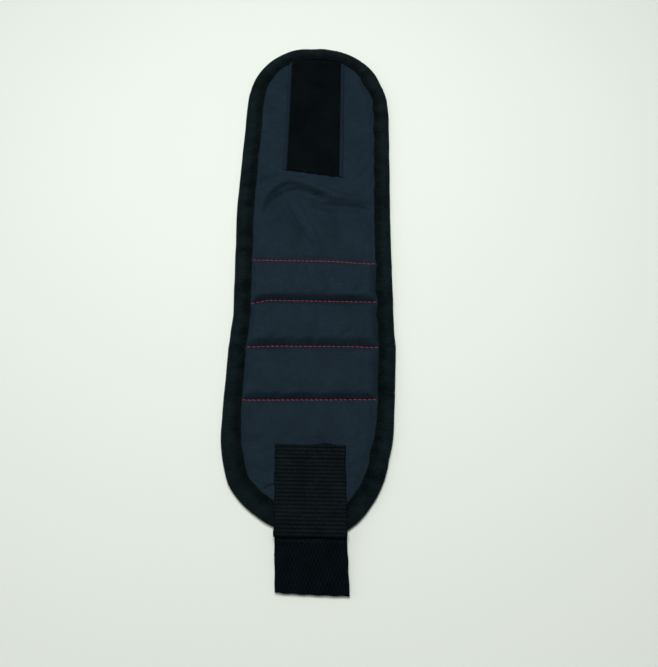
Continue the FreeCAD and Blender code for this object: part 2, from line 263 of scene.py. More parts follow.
def cloth_top(x, y):
    """The cloth's outer surface before the simulation."""
    x, y = np.asarray(x, float), np.asarray(y, float)
    rows = [row_y(row, x) for row in range(4)]
    field = inset(x, y) - LEG + 0.6
    height = FIELD_TOP + 0.16 * SOFT_WAVES(x, y) + 0.05 * SMALL_WAVES(x, y)
    height = height + np.clip(fold_height(x, y), -1.6, 2.7)
    flap_slope = rise(y - rows[0], 4.0, 2) * (y > rows[0]) + rise(rows[3] - y, 5.0, 2) * (y < rows[3])
    flat = SEAM_TOP + (height - SEAM_TOP) * flap_slope
    result = EDGE_TOP + (flat - EDGE_TOP) * smooth(field / 4.5)
    result = np.where(field < 4.5, result, flat)
    for channel, (upper, lower) in enumerate(zip(range(3), range(1, 4))):
        inside = (y <= rows[upper]) & (y >= rows[lower])
        crown = 0.16 * SOFT_WAVES(x + 40, y) + 0.05 * SMALL_WAVES(x, y + 9)
        up = rise(rows[upper] - y, UPPER_SLOPE[channel])
        down = rise(y - rows[lower], LOWER_SLOPE[channel])
        side = rise(field - 0.2, SIDE_SLOPE, 1.8)
        base = EDGE_TOP + (SEAM_TOP - EDGE_TOP) * smooth(field / 3)
        share = soft_least(soft_least(up, down), side)
        pillow = base + (PLATEAU - 0.1 + crown - base) * np.clip(share, 0, 1)
        result = np.where(inside, pillow, result)
    for row in range(4):
        gap = np.abs(y - rows[row])
        pucker = 0.2 * np.exp(-gap / 2.6) * (1 - np.exp(-gap / 0.9)) * ROW_WAVES(x * 1.6, y * 0.25)
        result = result + pucker * smooth(field / 5)
    edge_pucker = 0.16 * np.exp(-np.clip(field, 0, None) / 4.5) * smooth(field / 1.5)
    return result + edge_pucker * EDGE_WAVES(x * 0.2, y)


MAGNETS = [box(f"magnets_channel_{channel}") for channel in (1, 2, 3)]
MAGNET, MAGNET_PITCH = 20, 21  # a magnet's length across the band, and their spacing
COVER = 0.3  # the cloth's thickness over a pad


def over_magnets(x, y):
    """The lowest the cloth may lie over the magnets and beside them."""
    lowest = np.zeros_like(x)
    for low, high in MAGNETS:
        gap_x = np.maximum(low.x - x, x - high.x)
        gap_y = np.maximum(low.y - y, y - high.y)
        gap = np.clip(np.maximum(gap_x, gap_y) - 0.3, 0, None)
        lowest = np.maximum(lowest, high.z + COVER + 0.06 - 0.9 * gap)
    return lowest


class Drape:
    """What the cloth simulation adds to the cloth's height, on a regular grid."""

    cell = 1.6
    scale = 10  # the simulation runs at ten times the size

    def __init__(self):
        self.across = np.arange(-HALF - 2, HALF + 2.1, self.cell)
        self.along = np.arange(BAND_END_Y - 2, TOP_Y + 2.1, self.cell)
        self.lift = np.zeros((len(self.along), len(self.across)))

    def free(self, x, y):
        """1 where the cloth may move, 0 where thread, tape or another layer holds it."""
        held = smooth((inset(x, y) - LEG - 1.5) / 3)
        for row in range(4):
            held = held * smooth((np.abs(y - row_y(row, x)) - 1.0) / 1.6)
        station = TOP_Y - y
        patch = smooth((np.abs(x - PATCH_X) - 18.8) / 2.5)
        patch = np.maximum(patch, smooth((station - 100.5) / 3))
        strap = np.maximum(smooth((np.abs(x - STRAP_X) - 18.5) / 2.5), smooth((267.5 - station) / 3))
        return held * patch * strap

    def simulate(self):
        x, y = np.meshgrid(self.across, self.along)
        z = cloth_top(x, y)
        verts = np.stack([x, y, z], -1).reshape(-1, 3) * MM * self.scale
        mesh = bpy.data.meshes.new("drape_grid")
        mesh.from_pydata(verts.tolist(), [], grid_faces(*x.shape, 0, True))
        cloth = bpy.data.objects.new("drape_grid", mesh)
        bpy.context.scene.collection.objects.link(cloth)
        free = self.free(x, y).ravel()
        group = cloth.vertex_groups.new(name="held")
        for index, share in enumerate(free):
            if share < 0.5:
                group.add([index], 1.0, "REPLACE")
        settings = cloth.modifiers.new("cloth", "CLOTH").settings
        settings.vertex_group_mass = "held"
        settings.quality = 5
        settings.mass = 0.15
        settings.tension_stiffness = 25
        settings.compression_stiffness = 25
        settings.shear_stiffness = 8
        settings.bending_stiffness = 0.35
        settings.air_damping = 3
        settings.shrink_min = -0.025
        settings.use_pressure = True
        settings.uniform_pressure_force = 0.35
        settings.effector_weights.gravity = 0
        cloth.modifiers["cloth"].point_cache.frame_end = 14
        for number in range(1, 15):
            bpy.context.scene.frame_set(number)
        graph = bpy.context.evaluated_depsgraph_get()
        moved = np.zeros(len(verts) * 3, np.float32)
        cloth.evaluated_get(graph).data.vertices.foreach_get("co", moved)
        lift = (moved.reshape(-1, 3)[:, 2] - verts[:, 2]) / (MM * self.scale)
        lift = np.clip(lift, -0.45, 0.6) * smooth(free)
        self.lift = np.nan_to_num(lift).reshape(x.shape)
        bpy.context.scene.frame_set(1)
        bpy.data.objects.remove(cloth)

    def surface(self, x, y):
        """The cloth's outer surface."""
        return np.maximum(cloth_top(x, y) + self.at(x, y), over_magnets(x, y))

    def at(self, x, y):
        column = np.clip((x - self.across[0]) / self.cell, 0, len(self.across) - 1.001)
        row = np.clip((y - self.along[0]) / self.cell, 0, len(self.along) - 1.001)
        left, low = column.astype(int), row.astype(int)
        s, t = smooth(column - left), smooth(row - low)
        first = self.lift[low, left] * (1 - s) + self.lift[low, left + 1] * s
        second = self.lift[low + 1, left] * (1 - s) + self.lift[low + 1, left + 1] * s
        return first * (1 - t) + second * t


def grid_faces(rows, columns, offset, up):
    """Quads of a grid whose rows run towards +Y; up gives faces that look up."""
    index = np.arange(rows * columns).reshape(rows, columns) + offset
    corners = [index[:-1, :-1], index[:-1, 1:], index[1:, 1:], index[1:, :-1]]
    quads = np.stack(corners if up else corners[::-1], -1)
    return quads.reshape(-1, 4).tolist()


def wall_faces(ring, low_ring):
    """Quads between two closed rings of vertices."""
    after, low_after = np.roll(ring, -1), np.roll(low_ring, -1)
    return np.stack([ring, low_ring, low_after, after], -1).tolist()


def make_piece(name, verts, faces, uv, material, slot, sharp=60):
    """A piece from points in millimetres, with its flat pattern as the UV map."""
    mesh = bpy.data.meshes.new(name)
    verts = np.asarray(verts, float) * MM
    mesh.from_pydata(verts.tolist(), [], faces)
    corner = np.empty(len(mesh.loops), np.int64)
    mesh.loops.foreach_get("vertex_index", corner)
    layer = mesh.uv_layers.new(name="pattern")
    flat = (np.asarray(uv, float) * MM)[corner].astype(np.float32)
    layer.data.foreach_set("uv", flat.ravel())
    mesh.polygons.foreach_set("use_smooth", [True] * len(mesh.polygons))
    mesh.set_sharp_from_angle(angle=math.radians(sharp))
    mesh.materials.append(material)
    piece = bpy.data.objects.new(name, mesh)
    bpy.context.scene.collection.objects.link(piece)
    return piece


def slab_piece(name, x, y, top, low, material, slot, uv=None):
    """A closed sheet between two height grids whose rows run towards +Y."""
    rows, columns = x.shape
    upper = np.stack([x, y, top], -1).reshape(-1, 3)
    lower = np.stack([x, y, low], -1).reshape(-1, 3)
    count = rows * columns
    index = np.arange(count).reshape(rows, columns)
    ring = np.concatenate([index[0, :-1], index[:-1, -1], index[-1, :0:-1], index[:0:-1, 0]])
    faces = grid_faces(rows, columns, 0, True) + grid_faces(rows, columns, count, False)
    faces += wall_faces(ring, ring + count)
    flat = np.stack([x, y], -1).reshape(-1, 2) if uv is None else uv
    return make_piece(
        name, np.concatenate([upper, lower]), faces, np.concatenate([flat, flat]), material, slot
    )


def bend_piece(piece):
    """Bakes a piece's transform into its mesh."""
    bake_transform(piece)


def piece_limits(number):
    """The y at the far and near ends of the band's piece that crosses bend number."""
    far = TOP_Y if number == 0 else SEAM_Y[number - 1]
    near = BAND_END_Y if number == len(BENDS) - 1 else SEAM_Y[number]
    return far, near


def panel_nodes(prefix, number):
    """The CAD nodes that piece number stands for."""
    names = [f"{prefix}_{PANELS[number]}"]
    if number == len(BENDS) - 1:
        names.append(f"{prefix}_{PANELS[-1]}")
    return names


# ---------------------------------------------------------------- outline


def outline_side(side):
    """Points down one side of the band, tip to strap end, with the real edge's waver."""
    step = 0.5
    parts = []
    far = np.arange(0, HALF * math.pi / 2, step) / HALF
    parts.append(np.stack([HALF * np.sin(far), FAR_Y + HALF * np.cos(far)], -1))
    straight = np.arange(FAR_Y, CORNER_Y, -step)
    parts.append(np.stack([np.full_like(straight, HALF), straight], -1))
    corner = np.arange(0, -CORNER_TURN * CORNER, step) / CORNER
    parts.append(np.stack([CORNER_X + CORNER * np.cos(corner), CORNER_Y - CORNER * np.sin(corner)], -1))
    near = np.linspace(-CORNER_TURN, math.pi / 2, int((math.pi / 2 + CORNER_TURN) * NEAR / step) + 2)
    parts.append(np.stack([NEAR * np.cos(near), NEAR_Y - NEAR * np.sin(near)], -1))
    line = np.concatenate(parts)
    line[:, 0] *= side
    out = outward(line) * side
    amount = waver(line[:, 0], TOP_Y - line[:, 1])
    amount = amount + 0.1 * TAPE_WAVES(line[:, 1] + 300 * side, 0) * smooth(np.abs(line[:, 0]) / 6)
    return line + out * amount[:, None]


def outward(line):
    """Unit normals to a line, to its left as it runs clockwise."""
    along = np.gradient(line, axis=0)
    along /= np.linalg.norm(along, axis=1)[:, None]
    return np.stack([-along[:, 1], along[:, 0]], -1)


class Outline:
    """The band's whole edge as one closed line, clockwise from the tip, by length along it."""

    def __init__(self):
        right, left = outline_side(1), outline_side(-1)
        loop = np.concatenate([right, left[-2::-1]])
        kernel = np.array([1, 2, 3, 2, 1]) / 9
        padded = np.concatenate([loop[-5:-1], loop, loop[1:5]])
        soft = np.stack([np.convolve(padded[:, axis], kernel, "same") for axis in (0, 1)], -1)[4:-4]
        self.points = soft
        gaps = np.linalg.norm(np.diff(soft, axis=0), axis=1)
        self.at = np.concatenate([[0], np.cumsum(gaps)])
        self.total = self.at[-1]
        wide = np.concatenate([soft[-9:-1], soft, soft[1:9]])
        normal = outward(wide)
        normal = np.stack([np.convolve(normal[:, axis], np.ones(7) / 7, "same") for axis in (0, 1)], -1)[8:-8]
        self.normals = normal / np.linalg.norm(normal, axis=1)[:, None]
        self.middle = len(right) - 1

    def place(self, length):
        """Points and outward normals at lengths along the edge."""
        length = np.mod(length, self.total)
        point = np.stack([np.interp(length, self.at, self.points[:, axis]) for axis in (0, 1)], -1)
        normal = np.stack([np.interp(length, self.at, self.normals[:, axis]) for axis in (0, 1)], -1)
        return point, normal / np.linalg.norm(normal, axis=1)[:, None]

    def length_at(self, side, y):
        """The length along the edge where it passes y on one side."""
        if side > 0:
            part = slice(0, self.middle + 1)
            return np.interp(-y, -self.points[part, 1], self.at[part])
        part = slice(self.middle, None)
        return np.interp(y, self.points[part, 1], self.at[part])

    def half_width(self, side, y, inwards):
        """x at height y of the edge drawn in by inwards."""
        part = slice(0, self.middle + 1) if side > 0 else slice(len(self.at) - 1, self.middle - 1, -1)
        line = self.points[part] - self.normals[part] * inwards
        return np.interp(-y, -line[:, 1], line[:, 0])

    def ends(self, inwards):
        """y of the tip and the strap end, drawn in by inwards."""
        return self.points[0, 1] - inwards, self.points[self.middle, 1] + inwards


SEAM_STEPS = (-1.2, -0.7, -0.3, 0, 0.3, 0.7, 1.2)  # grid lines beside a stitched row


def band_rows(outline, number, inwards, cell):
    """The y of a piece's grid rows, near end first, closer together towards a round end."""
    far, near = piece_limits(number)
    tip, end = outline.ends(inwards)
    far, near = min(far, tip - 0.02), max(near, end + 0.02)
    count = int(math.ceil((far - near) / cell)) + 1
    share = np.linspace(0, 1, count)
    if number == 0:
        share = np.sin(np.linspace(0, math.pi / 2, int(count * 1.35)))
    if number == len(BENDS) - 1:
        share = 1 - np.sin(np.linspace(math.pi / 2, 0, int(count * 1.35)))
    y = near + (far - near) * share
    if number in ROWS:
        seam = BEND_Y[number] + np.array(SEAM_STEPS)
        y = np.sort(np.concatenate([y[np.abs(y - BEND_Y[number]) > SEAM_STEPS[-1] + cell / 3], seam]))
    return y


def follow_row(x, y, number):
    """Shifts the grid lines near a stitched row so that they run along it."""
    if number not in ROWS:
        return y
    row = ROWS.index(number)
    near = smooth(1 - np.abs(y - ROW_Y[row]) / 9)
    return y + (row_y(row, x) - ROW_Y[row]) * near


def band_grid(outline, number, inwards, cell):
    """A piece's grid of x and y, from edge to edge."""
    y = band_rows(outline, number, inwards, cell)
    left = outline.half_width(-1, y, inwards)
    right = outline.half_width(1, y, inwards)
    columns = int(round(2 * (HALF - inwards) / cell)) + 1
    share = np.linspace(0, 1, columns)
    x = left[:, None] + (right - left)[:, None] * share[None, :]
    return x, follow_row(x, np.repeat(y[:, None], columns, axis=1), number)


# ---------------------------------------------------------------- materials


class Paint:
    """A material's node tree, with short calls for the nodes used below."""

    def __init__(self, name, colour, roughness, **sockets):
        self.material = bpy.data.materials.new(name)
        self.material.use_nodes = True
        self.tree = self.material.node_tree
        self.shader = self.tree.nodes["Principled BSDF"]
        self.shader.inputs["Base Color"].default_value = (*colour, 1)
        self.shader.inputs["Roughness"].default_value = roughness
        for socket, value in sockets.items():
            self.shader.inputs[socket.replace("_", " ")].default_value = value
        pattern = self.node("ShaderNodeUVMap")
        pattern.uv_map = "pattern"
        parts = self.node("ShaderNodeSeparateXYZ")
        self.link(pattern.outputs["UV"], parts.inputs[0])
        self.uv, self.u, self.v = pattern.outputs["UV"], parts.outputs["X"], parts.outputs["Y"]

    def node(self, kind):
        return self.tree.nodes.new(kind)

    def link(self, output, socket):
        self.tree.links.new(output, socket)

    def put(self, value, socket):
        if isinstance(value, bpy.types.NodeSocket):
            self.link(value, socket)
        else:
            socket.default_value = value

    def math(self, operation, *values):
        node = self.node("ShaderNodeMath")
        node.operation = operation
        for value, socket in zip(values, node.inputs):
            self.put(value, socket)
        return node.outputs[0]

    def total(self, first, *others):
        """The sum of several values, added in turn."""
        for other in others:
            first = self.math("ADD", first, other)
        return first

    def clamp(self, value):
        return self.math("MINIMUM", self.math("MAXIMUM", value, 0.0), 1.0)

    def noise(self, size, detail=2, rough=0.5, stretch=(1, 1)):
        """Noise of features about size millimetres across, 0 to 1."""
        node = self.node("ShaderNodeTexNoise")
        node.noise_dimensions = "2D"
        node.inputs["Scale"].default_value = 1
        node.inputs["Detail"].default_value = detail
        node.inputs["Roughness"].default_value = rough
        scaled = self.node("ShaderNodeCombineXYZ")
        self.link(self.math("MULTIPLY", self.u, stretch[0] / (size * MM)), scaled.inputs[0])
        self.link(self.math("MULTIPLY", self.v, stretch[1] / (size * MM)), scaled.inputs[1])
        self.link(scaled.outputs[0], node.inputs["Vector"])
        return node.outputs[0]

    def ridge(self, value, pitch):
        """Round threads side by side along value, at a pitch in millimetres, 0 to 1."""
        turn = self.math("MULTIPLY", value, math.pi / (pitch * MM))
        return self.math("ABSOLUTE", self.math("SINE", turn))

    def parity(self, across, along):
        """0 or 1, in a checker of threads."""
        columns = self.math("FLOOR", self.math("DIVIDE", self.u, across * MM))
        rows = self.math("FLOOR", self.math("DIVIDE", self.v, along * MM))
        return self.math("ABSOLUTE", self.math("MODULO", self.math("ADD", columns, rows), 2.0))

    def weave(self, across, along):
        """A plain weave's height, 0 to 1."""
        warp, weft = self.ridge(self.u, across), self.ridge(self.v, along)
        over = self.math("MULTIPLY", warp, self.math("POWER", weft, 0.4))
        under = self.math("MULTIPLY", weft, self.math("POWER", warp, 0.4))
        pick = self.parity(across, along)
        return self.blend(pick, over, self.math("MULTIPLY", under, 0.85))

    def blend(self, factor, first, second):
        node = self.node("ShaderNodeMix")
        self.put(factor, node.inputs[0])
        self.put(first, node.inputs[2])
        self.put(second, node.inputs[3])
        return node.outputs[0]

    def range(self, value, low, high):
        """Maps 0..1 to low..high."""
        return self.math("MULTIPLY_ADD", value, high - low, low)

    def colour(self, factor, first, second):
        """A colour between two, by factor."""
        node = self.node("ShaderNodeMix")
        node.data_type = "RGBA"
        self.put(factor, node.inputs[0])
        for value, socket in ((first, node.inputs[6]), (second, node.inputs[7])):
            self.put(value if isinstance(value, bpy.types.NodeSocket) else (*value, 1), socket)
        return node.outputs[2]

    def base(self, output):
        self.link(output, self.shader.inputs["Base Color"])

    def rough(self, output):
        self.link(output, self.shader.inputs["Roughness"])

    def bump(self, height, distance, strength=1.0):
        """Bump of a height from 0 to 1, distance millimetres deep."""
        node = self.node("ShaderNodeBump")
        node.inputs["Strength"].default_value = strength
        node.inputs["Distance"].default_value = distance * MM
        self.link(height, node.inputs["Height"])
        self.link(node.outputs[0], self.shader.inputs["Normal"])


def linear(red, green, blue):
    """A colour given in 0 to 255 sRGB as linear light."""
    return tuple(
        part / 12.92 if part <= 0.04045 else ((part + 0.055) / 1.055) ** 2.4
        for part in (red / 255, green / 255, blue / 255)
    )


def navy_cloth():
    paint = Paint("navy_cloth", linear(26, 39, 49), 0.7, Specular_IOR_Level=0.05)
    weave = paint.weave(0.42, 0.42)
    mottle = paint.noise(14, 3)
    slub = paint.blend(0.5, paint.noise(0.5, 1, stretch=(1, 0.08)), paint.noise(0.5, 1, stretch=(0.08, 1)))
    tone = paint.total(
        paint.range(weave, 0.0, 0.45), paint.range(mottle, -0.05, 0.35), paint.range(slub, -0.3, 0.5)
    )
    paint.base(paint.colour(tone, linear(11, 23, 32), linear(34, 49, 60)))
    paint.rough(paint.range(weave, 0.78, 0.6))
    paint.bump(paint.math("ADD", weave, paint.range(slub, 0, 0.5)), 0.07, 0.8)
    return paint.material


def binding_tape():
    """Grosgrain: dark ribbed tape, with painted shade between its ribs and along its inner edge, and painted
    light on its outer part and fold.
    """
    paint = Paint("binding_tape", linear(14, 20, 22), 0.6, Specular_IOR_Level=0.03)
    threads = paint.ridge(paint.v, 0.34)
    # Painted shade in the hollows between the ribs: 1 on a rib, 0 in a hollow, in step with the geometric
    # ribs
    painted_rib_shade = paint.ridge(paint.math("ADD", paint.u, RIB * MM / 2), RIB)
    mottle = paint.noise(7, 3, stretch=(1, 0.6))
    fibres = paint.noise(0.25, 1, stretch=(1, 0.12))
    # Painted light: lighter from 2 mm in from the inner edge outwards, with painted shade along the inner
    # edge
    outer_painted_light = paint.clamp(paint.math("MULTIPLY", paint.math("SUBTRACT", paint.v, 2 * MM), 1 / (3.5 * MM)))
    tone = paint.total(
        paint.range(mottle, -0.25, 0.6), paint.range(fibres, -0.3, 0.4), paint.range(threads, -0.1, 0.12),
        paint.range(painted_rib_shade, -0.35, 0.15), paint.range(outer_painted_light, -0.12, 0.2),
    )
    paint.base(paint.colour(tone, linear(1, 5, 7), linear(24, 37, 40)))
    paint.rough(paint.range(mottle, 0.5, 0.7))
    paint.bump(paint.math("ADD", threads, fibres), 0.06, 0.7)
    return paint.material


PILE_BLUR = 0.625  # how far the pile's colour runs into its woven edge


def loop_pile(half):
    """Loop pile between two flat woven edges, half millimetres from the middle."""
    paint = Paint("loop_pile", linear(8, 12, 16), 0.9, Specular_IOR_Level=0.02)
    past = paint.math("SUBTRACT", paint.math("ABSOLUTE", paint.u), half * MM)
    edge = paint.clamp(paint.math("MULTIPLY", past, 1 / (PILE_BLUR * MM)))
    loops = paint.noise(0.55, 3, 0.7)
    mottle = paint.noise(16, 2)
    tone = paint.total(paint.range(loops, -0.2, 0.7), paint.range(mottle, -0.3, 0.45))
    pile = paint.colour(tone, linear(3, 6, 8), linear(14, 20, 24))
    flat = paint.colour(paint.weave(0.5, 0.36), linear(17, 26, 35), linear(33, 44, 56))
    paint.base(paint.colour(edge, pile, flat))
    paint.bump(loops, 0.25, 0.9)
    return paint.material


def webbing_material():
    """Ribbed webbing: painted highlights on the tops of its weft ribs, beaded by the warp, show as rows of
    lighter dashes.
    """
    paint = Paint("strap_webbing", linear(11, 17, 20), 0.6, Specular_IOR_Level=0.02)
    fibres = paint.noise(0.3, 2, stretch=(1, 0.15))
    mottle = paint.noise(9, 2)
    patches = paint.noise(2.2, 2)
    # Painted highlight on the tops of the ribs and beads, in step with the webbing's relief
    ribs = paint.math("POWER", paint.ridge(paint.v, WEFT), 2.0)
    row = paint.math("FLOOR", paint.math("DIVIDE", paint.v, WEFT * MM))
    shift = paint.math("MULTIPLY", row, 0.5 * WARP * MM)
    beads = paint.ridge(paint.math("ADD", paint.u, shift), WARP)
    rib_highlight = paint.math("MULTIPLY", ribs, paint.range(beads, 0.35, 1.0))
    tone = paint.total(
        paint.range(rib_highlight, -0.05, 0.42), paint.range(fibres, -0.25, 0.4), paint.range(mottle, -0.25, 0.25)
    )
    tone = paint.math("MULTIPLY", tone, paint.range(patches, 0.2, 1.5))
    paint.base(paint.colour(tone, linear(2, 7, 9), linear(25, 35, 40)))
    paint.rough(paint.range(fibres, 0.45, 0.65))
    paint.bump(fibres, 0.06, 0.7)
    return paint.material


def hook_tape_material():
    paint = Paint("hook_tape_back", linear(7, 12, 15), 0.6, Specular_IOR_Level=0.01)
    fibres = paint.noise(0.25, 2, stretch=(1, 0.2))
    mottle = paint.noise(8, 2)
    column = paint.math("COSINE", paint.math("MULTIPLY", paint.u, 2 * math.pi / (KNIT_ACROSS * MM)))
    course = paint.math("COSINE", paint.math("MULTIPLY", paint.v, 2 * math.pi / (KNIT_ALONG * MM)))
    knit = paint.math("MULTIPLY_ADD", paint.math("MULTIPLY", column, course), 0.5, 0.5)
    tone = paint.total(
        paint.range(fibres, -0.2, 0.5), paint.range(mottle, -0.25, 0.35), paint.range(knit, -0.25, 0.4)
    )
    paint.base(paint.colour(tone, linear(1, 5, 8), linear(13, 21, 26)))
    paint.rough(paint.range(fibres, 0.45, 0.65))
    paint.bump(fibres, 0.06, 0.7)
    return paint.material


def hooks_material():
    paint = Paint("nylon_hooks", linear(20, 23, 26), 0.32, Specular_IOR_Level=0.5)
    paint.shader.inputs["Transmission Weight"].default_value = 0.15
    tone = paint.noise(2.5, 2)
    paint.base(paint.colour(tone, linear(12, 15, 18), linear(34, 38, 42)))
    paint.rough(paint.range(tone, 0.25, 0.42))
    return paint.material


def lining_material():
    paint = Paint("lining_mesh", linear(24, 27, 30), 0.8, Specular_IOR_Level=0.1)
    knit = paint.weave(0.55, 0.8)
    mottle = paint.noise(18, 2)
    tone = paint.total(paint.range(knit, 0, 0.6), paint.range(mottle, -0.2, 0.4))
    paint.base(paint.colour(tone, linear(13, 15, 18), linear(42, 46, 50)))
    paint.bump(knit, 0.12, 0.8)
    return paint.material


def thread_material(name, dark, light, rough):
    paint = Paint(name, light, rough, Specular_IOR_Level=0.15)
    ply = paint.ridge(paint.math("ADD", paint.u, paint.math("MULTIPLY", paint.v, 0.8)), 0.3)
    fuzz = paint.noise(0.6, 2)
    tone = paint.total(paint.range(ply, 0.1, 0.7), paint.range(fuzz, -0.2, 0.5))
    paint.base(paint.colour(tone, dark, light))
    paint.bump(ply, 0.05, 0.8)
    return paint.material


def foam_material():
    paint = Paint("pad_foam", linear(196, 196, 190), 0.95, Specular_IOR_Level=0.1)
    pores = paint.noise(0.7, 3, 0.7)
    paint.base(paint.colour(pores, linear(150, 150, 146), linear(222, 221, 214)))
    paint.bump(pores, 0.3, 0.8)
    return paint.material


def mottled_material(name, scale, detail, first, second, **sockets):
    """Noise between two colours on the object's own coordinates, for shapes with no flat pattern."""
    material = bpy.data.materials.new(name)
    material.use_nodes = True
    tree = material.node_tree
    shader = tree.nodes["Principled BSDF"]
    for socket, value in sockets.items():
        shader.inputs[socket.replace("_", " ")].default_value = value
    place = tree.nodes.new("ShaderNodeTexCoord")
    noise = tree.nodes.new("ShaderNodeTexNoise")
    noise.inputs["Scale"].default_value = scale
    noise.inputs["Detail"].default_value = detail
    tree.links.new(place.outputs["Object"], noise.inputs["Vector"])
    tones = tree.nodes.new("ShaderNodeMix")
    tones.data_type = "RGBA"
    tones.inputs[6].default_value = (*first, 1)
    tones.inputs[7].default_value = (*second, 1)
    tree.links.new(noise.outputs[0], tones.inputs[0])
    tree.links.new(tones.outputs[2], shader.inputs["Base Color"])
    return material, noise.outputs[0]


def magnet_material():
    """Plated magnets, which keep their CAD shape."""
    colours = linear(170, 170, 166), linear(205, 204, 198)
    material, noise = mottled_material("magnet_nickel", 900, 4, *colours, Metallic=1)
    tree = material.node_tree
    rough = tree.nodes.new("ShaderNodeMapRange")
    rough.inputs["To Min"].default_value = 0.22
    rough.inputs["To Max"].default_value = 0.4
    tree.links.new(noise, rough.inputs["Value"])
    tree.links.new(rough.outputs[0], tree.nodes["Principled BSDF"].inputs["Roughness"])
    return material


# ---------------------------------------------------------------- band layers


def make_shell(outline, drape, material):
    """The navy cloth with its thin foam, one piece across each bend."""
    cell = 0.85
    for number in range(len(BENDS)):
        x, y = band_grid(outline, number, 1.8, cell)
        top = drape.surface(x, y)
        under_tape = smooth((LEG - 0.3 - inset(x, y)) / 1.2)
        top = np.minimum(top, EDGE_TOP + (1 - under_tape) * 6)
        low = np.minimum(shell_underside(x, y, top), top - COVER)
        piece = slab_piece(f"shell_cloth_{number + 1}", x, y, top, low, material, "shell_cloth")
        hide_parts(*panel_nodes("shell", number))
        declare_sheet(x, y)
        bend_piece(piece)


def shell_underside(x, y, top):
    """The laminated shell's lower face, raised over the pads in the channels."""
    rows = [row_y(row, x) for row in range(4)]
    low = np.full_like(x, LINING_TOP + 0.03)
    for upper, lower in zip(range(3), range(1, 4)):
        inside = smooth((rows[upper] - y - 1.2) / 1.5) * smooth((y - rows[lower] - 1.2) / 1.5)
        inside = inside * smooth((inset(x, y) - LEG - 1.5) / 2)
        low = np.where(inside > 0, low + (np.maximum(top - COVER, low) - low) * inside, low)
    return low


def declare_sheet(x, y):
    """Works out a layer's flat cut size and area; nothing is done with them."""
    width = (x.max() - x.min()) * MM
    length = (y.max() - y.min()) * MM
    rows = (x[:, -1] - x[:, 0]) * MM
    area = float(np.sum((rows[1:] + rows[:-1]) / 2 * np.diff(y[:, 0]) * MM))
    area = min(area, width * length)


def make_lining(outline, material):
    """Knitted spacer mesh on the wrist side, with a dimple for each hole of the knit."""
    pitch = 3.0
    for number in range(len(BENDS)):
        x, y = band_grid(outline, number, 1.8, 0.75)
        column = x / pitch
        row = y / (pitch * 0.866)
        wave = np.cos(2 * math.pi * column) * np.cos(math.pi * row)
        open_part = smooth((inset(x, y) - LEG) / 1.5)
        dimple = 0.34 * smooth((wave - 0.15) / 0.7) * open_part
        seam = sum(bell(y - row_y(index, x), 0.9) for index in range(4))
        low = 0.06 + dimple + 0.4 * np.minimum(seam, 1) * open_part + 0.5 * (1 - open_part)
        top = np.full_like(x, LINING_TOP)
        piece = slab_piece(f"lining_cloth_{number + 1}", x, y, top, low, material, "lining_mesh")
        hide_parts(*panel_nodes("lining", number))
        declare_sheet(x, y)
        bend_piece(piece)


# The binding's section, from its inner edge on the cloth round to its inner edge on the lining:
# share of the leg in from the fold, height of the tape's middle
TAPE_SECTION = [(1.0, 3.12), (0.93, 3.12), (0.84, 3.02), (0.74, 3.2), (0.6, 3.42), (0.45, 3.5), (0.3, 3.36)]
TAPE_SECTION += [(0.17, 3.0), (0.08, 2.5), (0.035, 1.85), (0.06, 1.2), (0.13, 0.7), (0.25, 0.42)]
TAPE_SECTION += [(0.45, 0.31), (0.65, 0.31), (0.8, 0.38), (0.88, 0.36), (0.96, 0.33)]
TAPE_HALF = 0.25
RIB = 1.1
RIB_STEPS = 6
RIB_DEPTH = 0.24
KINK = 112  # the station of a kink in the side


def tape_leg(point):
    """How far the binding reaches in from its fold, at points on the edge."""
    x, y = point[:, 0], point[:, 1]
    side = np.clip(x / 20, -1, 1)
    leg = LEG - 0.35 * side + 0.42 * TAPE_WAVES(y * 1.3 + 90 * side, x)
    kinks = sum(bell(y - row_y(row, x), 3.2) for row in range(4))
    round_end = smooth((NEAR_Y + 20 - y) / 20)
    wide = 1.3 * bell(TOP_Y - y - 22, 7) * (x > 0)
    return leg - 0.5 * kinks + 0.7 * round_end + wide


def tape_relief(point, share, height):
    """The binding's puffs and pleats over its section, drawn in where the stitched rows cross it."""
    x, y = point[:, 0], point[:, 1]
    station = TOP_Y - y
    rows = sum(bell(y - row_y(row, x), 2.6) for row in range(4)) + 0.7 * bell(station - KINK, 2.4)
    puff = 0.2 * TAPE_WAVES(x * 1.1, y * 1.1) + 0.16 * EDGE_WAVES(x * 1.3, y * 1.3)
    puff = puff - 0.5 * np.minimum(rows, 1)
    ends = smooth((40 - station) / 20) + smooth((NEAR_Y - y) / 15)
    pleat = (0.08 + 0.2 * ends) * PLEAT_WAVES(x, y)
    upper = smooth((height - 1.4) / 1.2)
    crest = bell(share - 0.42, 0.3) * upper
    inner = smooth((share - 0.55) / 0.35) * upper
    return np.outer(puff, crest) + np.outer(pleat, inner * 0.9)


def tape_faces(along, around):
    """Quads of a closed tube of rings, capped by pairs of points across the tape."""
    index = np.arange(along * around).reshape(along, around)
    low, high = index[:-1], index[1:]
    quads = np.stack([low, high, np.roll(high, -1, 1), np.roll(low, -1, 1)], -1).reshape(-1, 4).tolist()
    for end, turned in ((index[0].tolist(), False), (index[-1].tolist(), True)):
        for i in range(around // 2 - 1):
            cap = (end[i], end[i + 1], end[around - 2 - i], end[around - 1 - i])
            quads.append(cap[::-1] if turned else cap)
    return quads


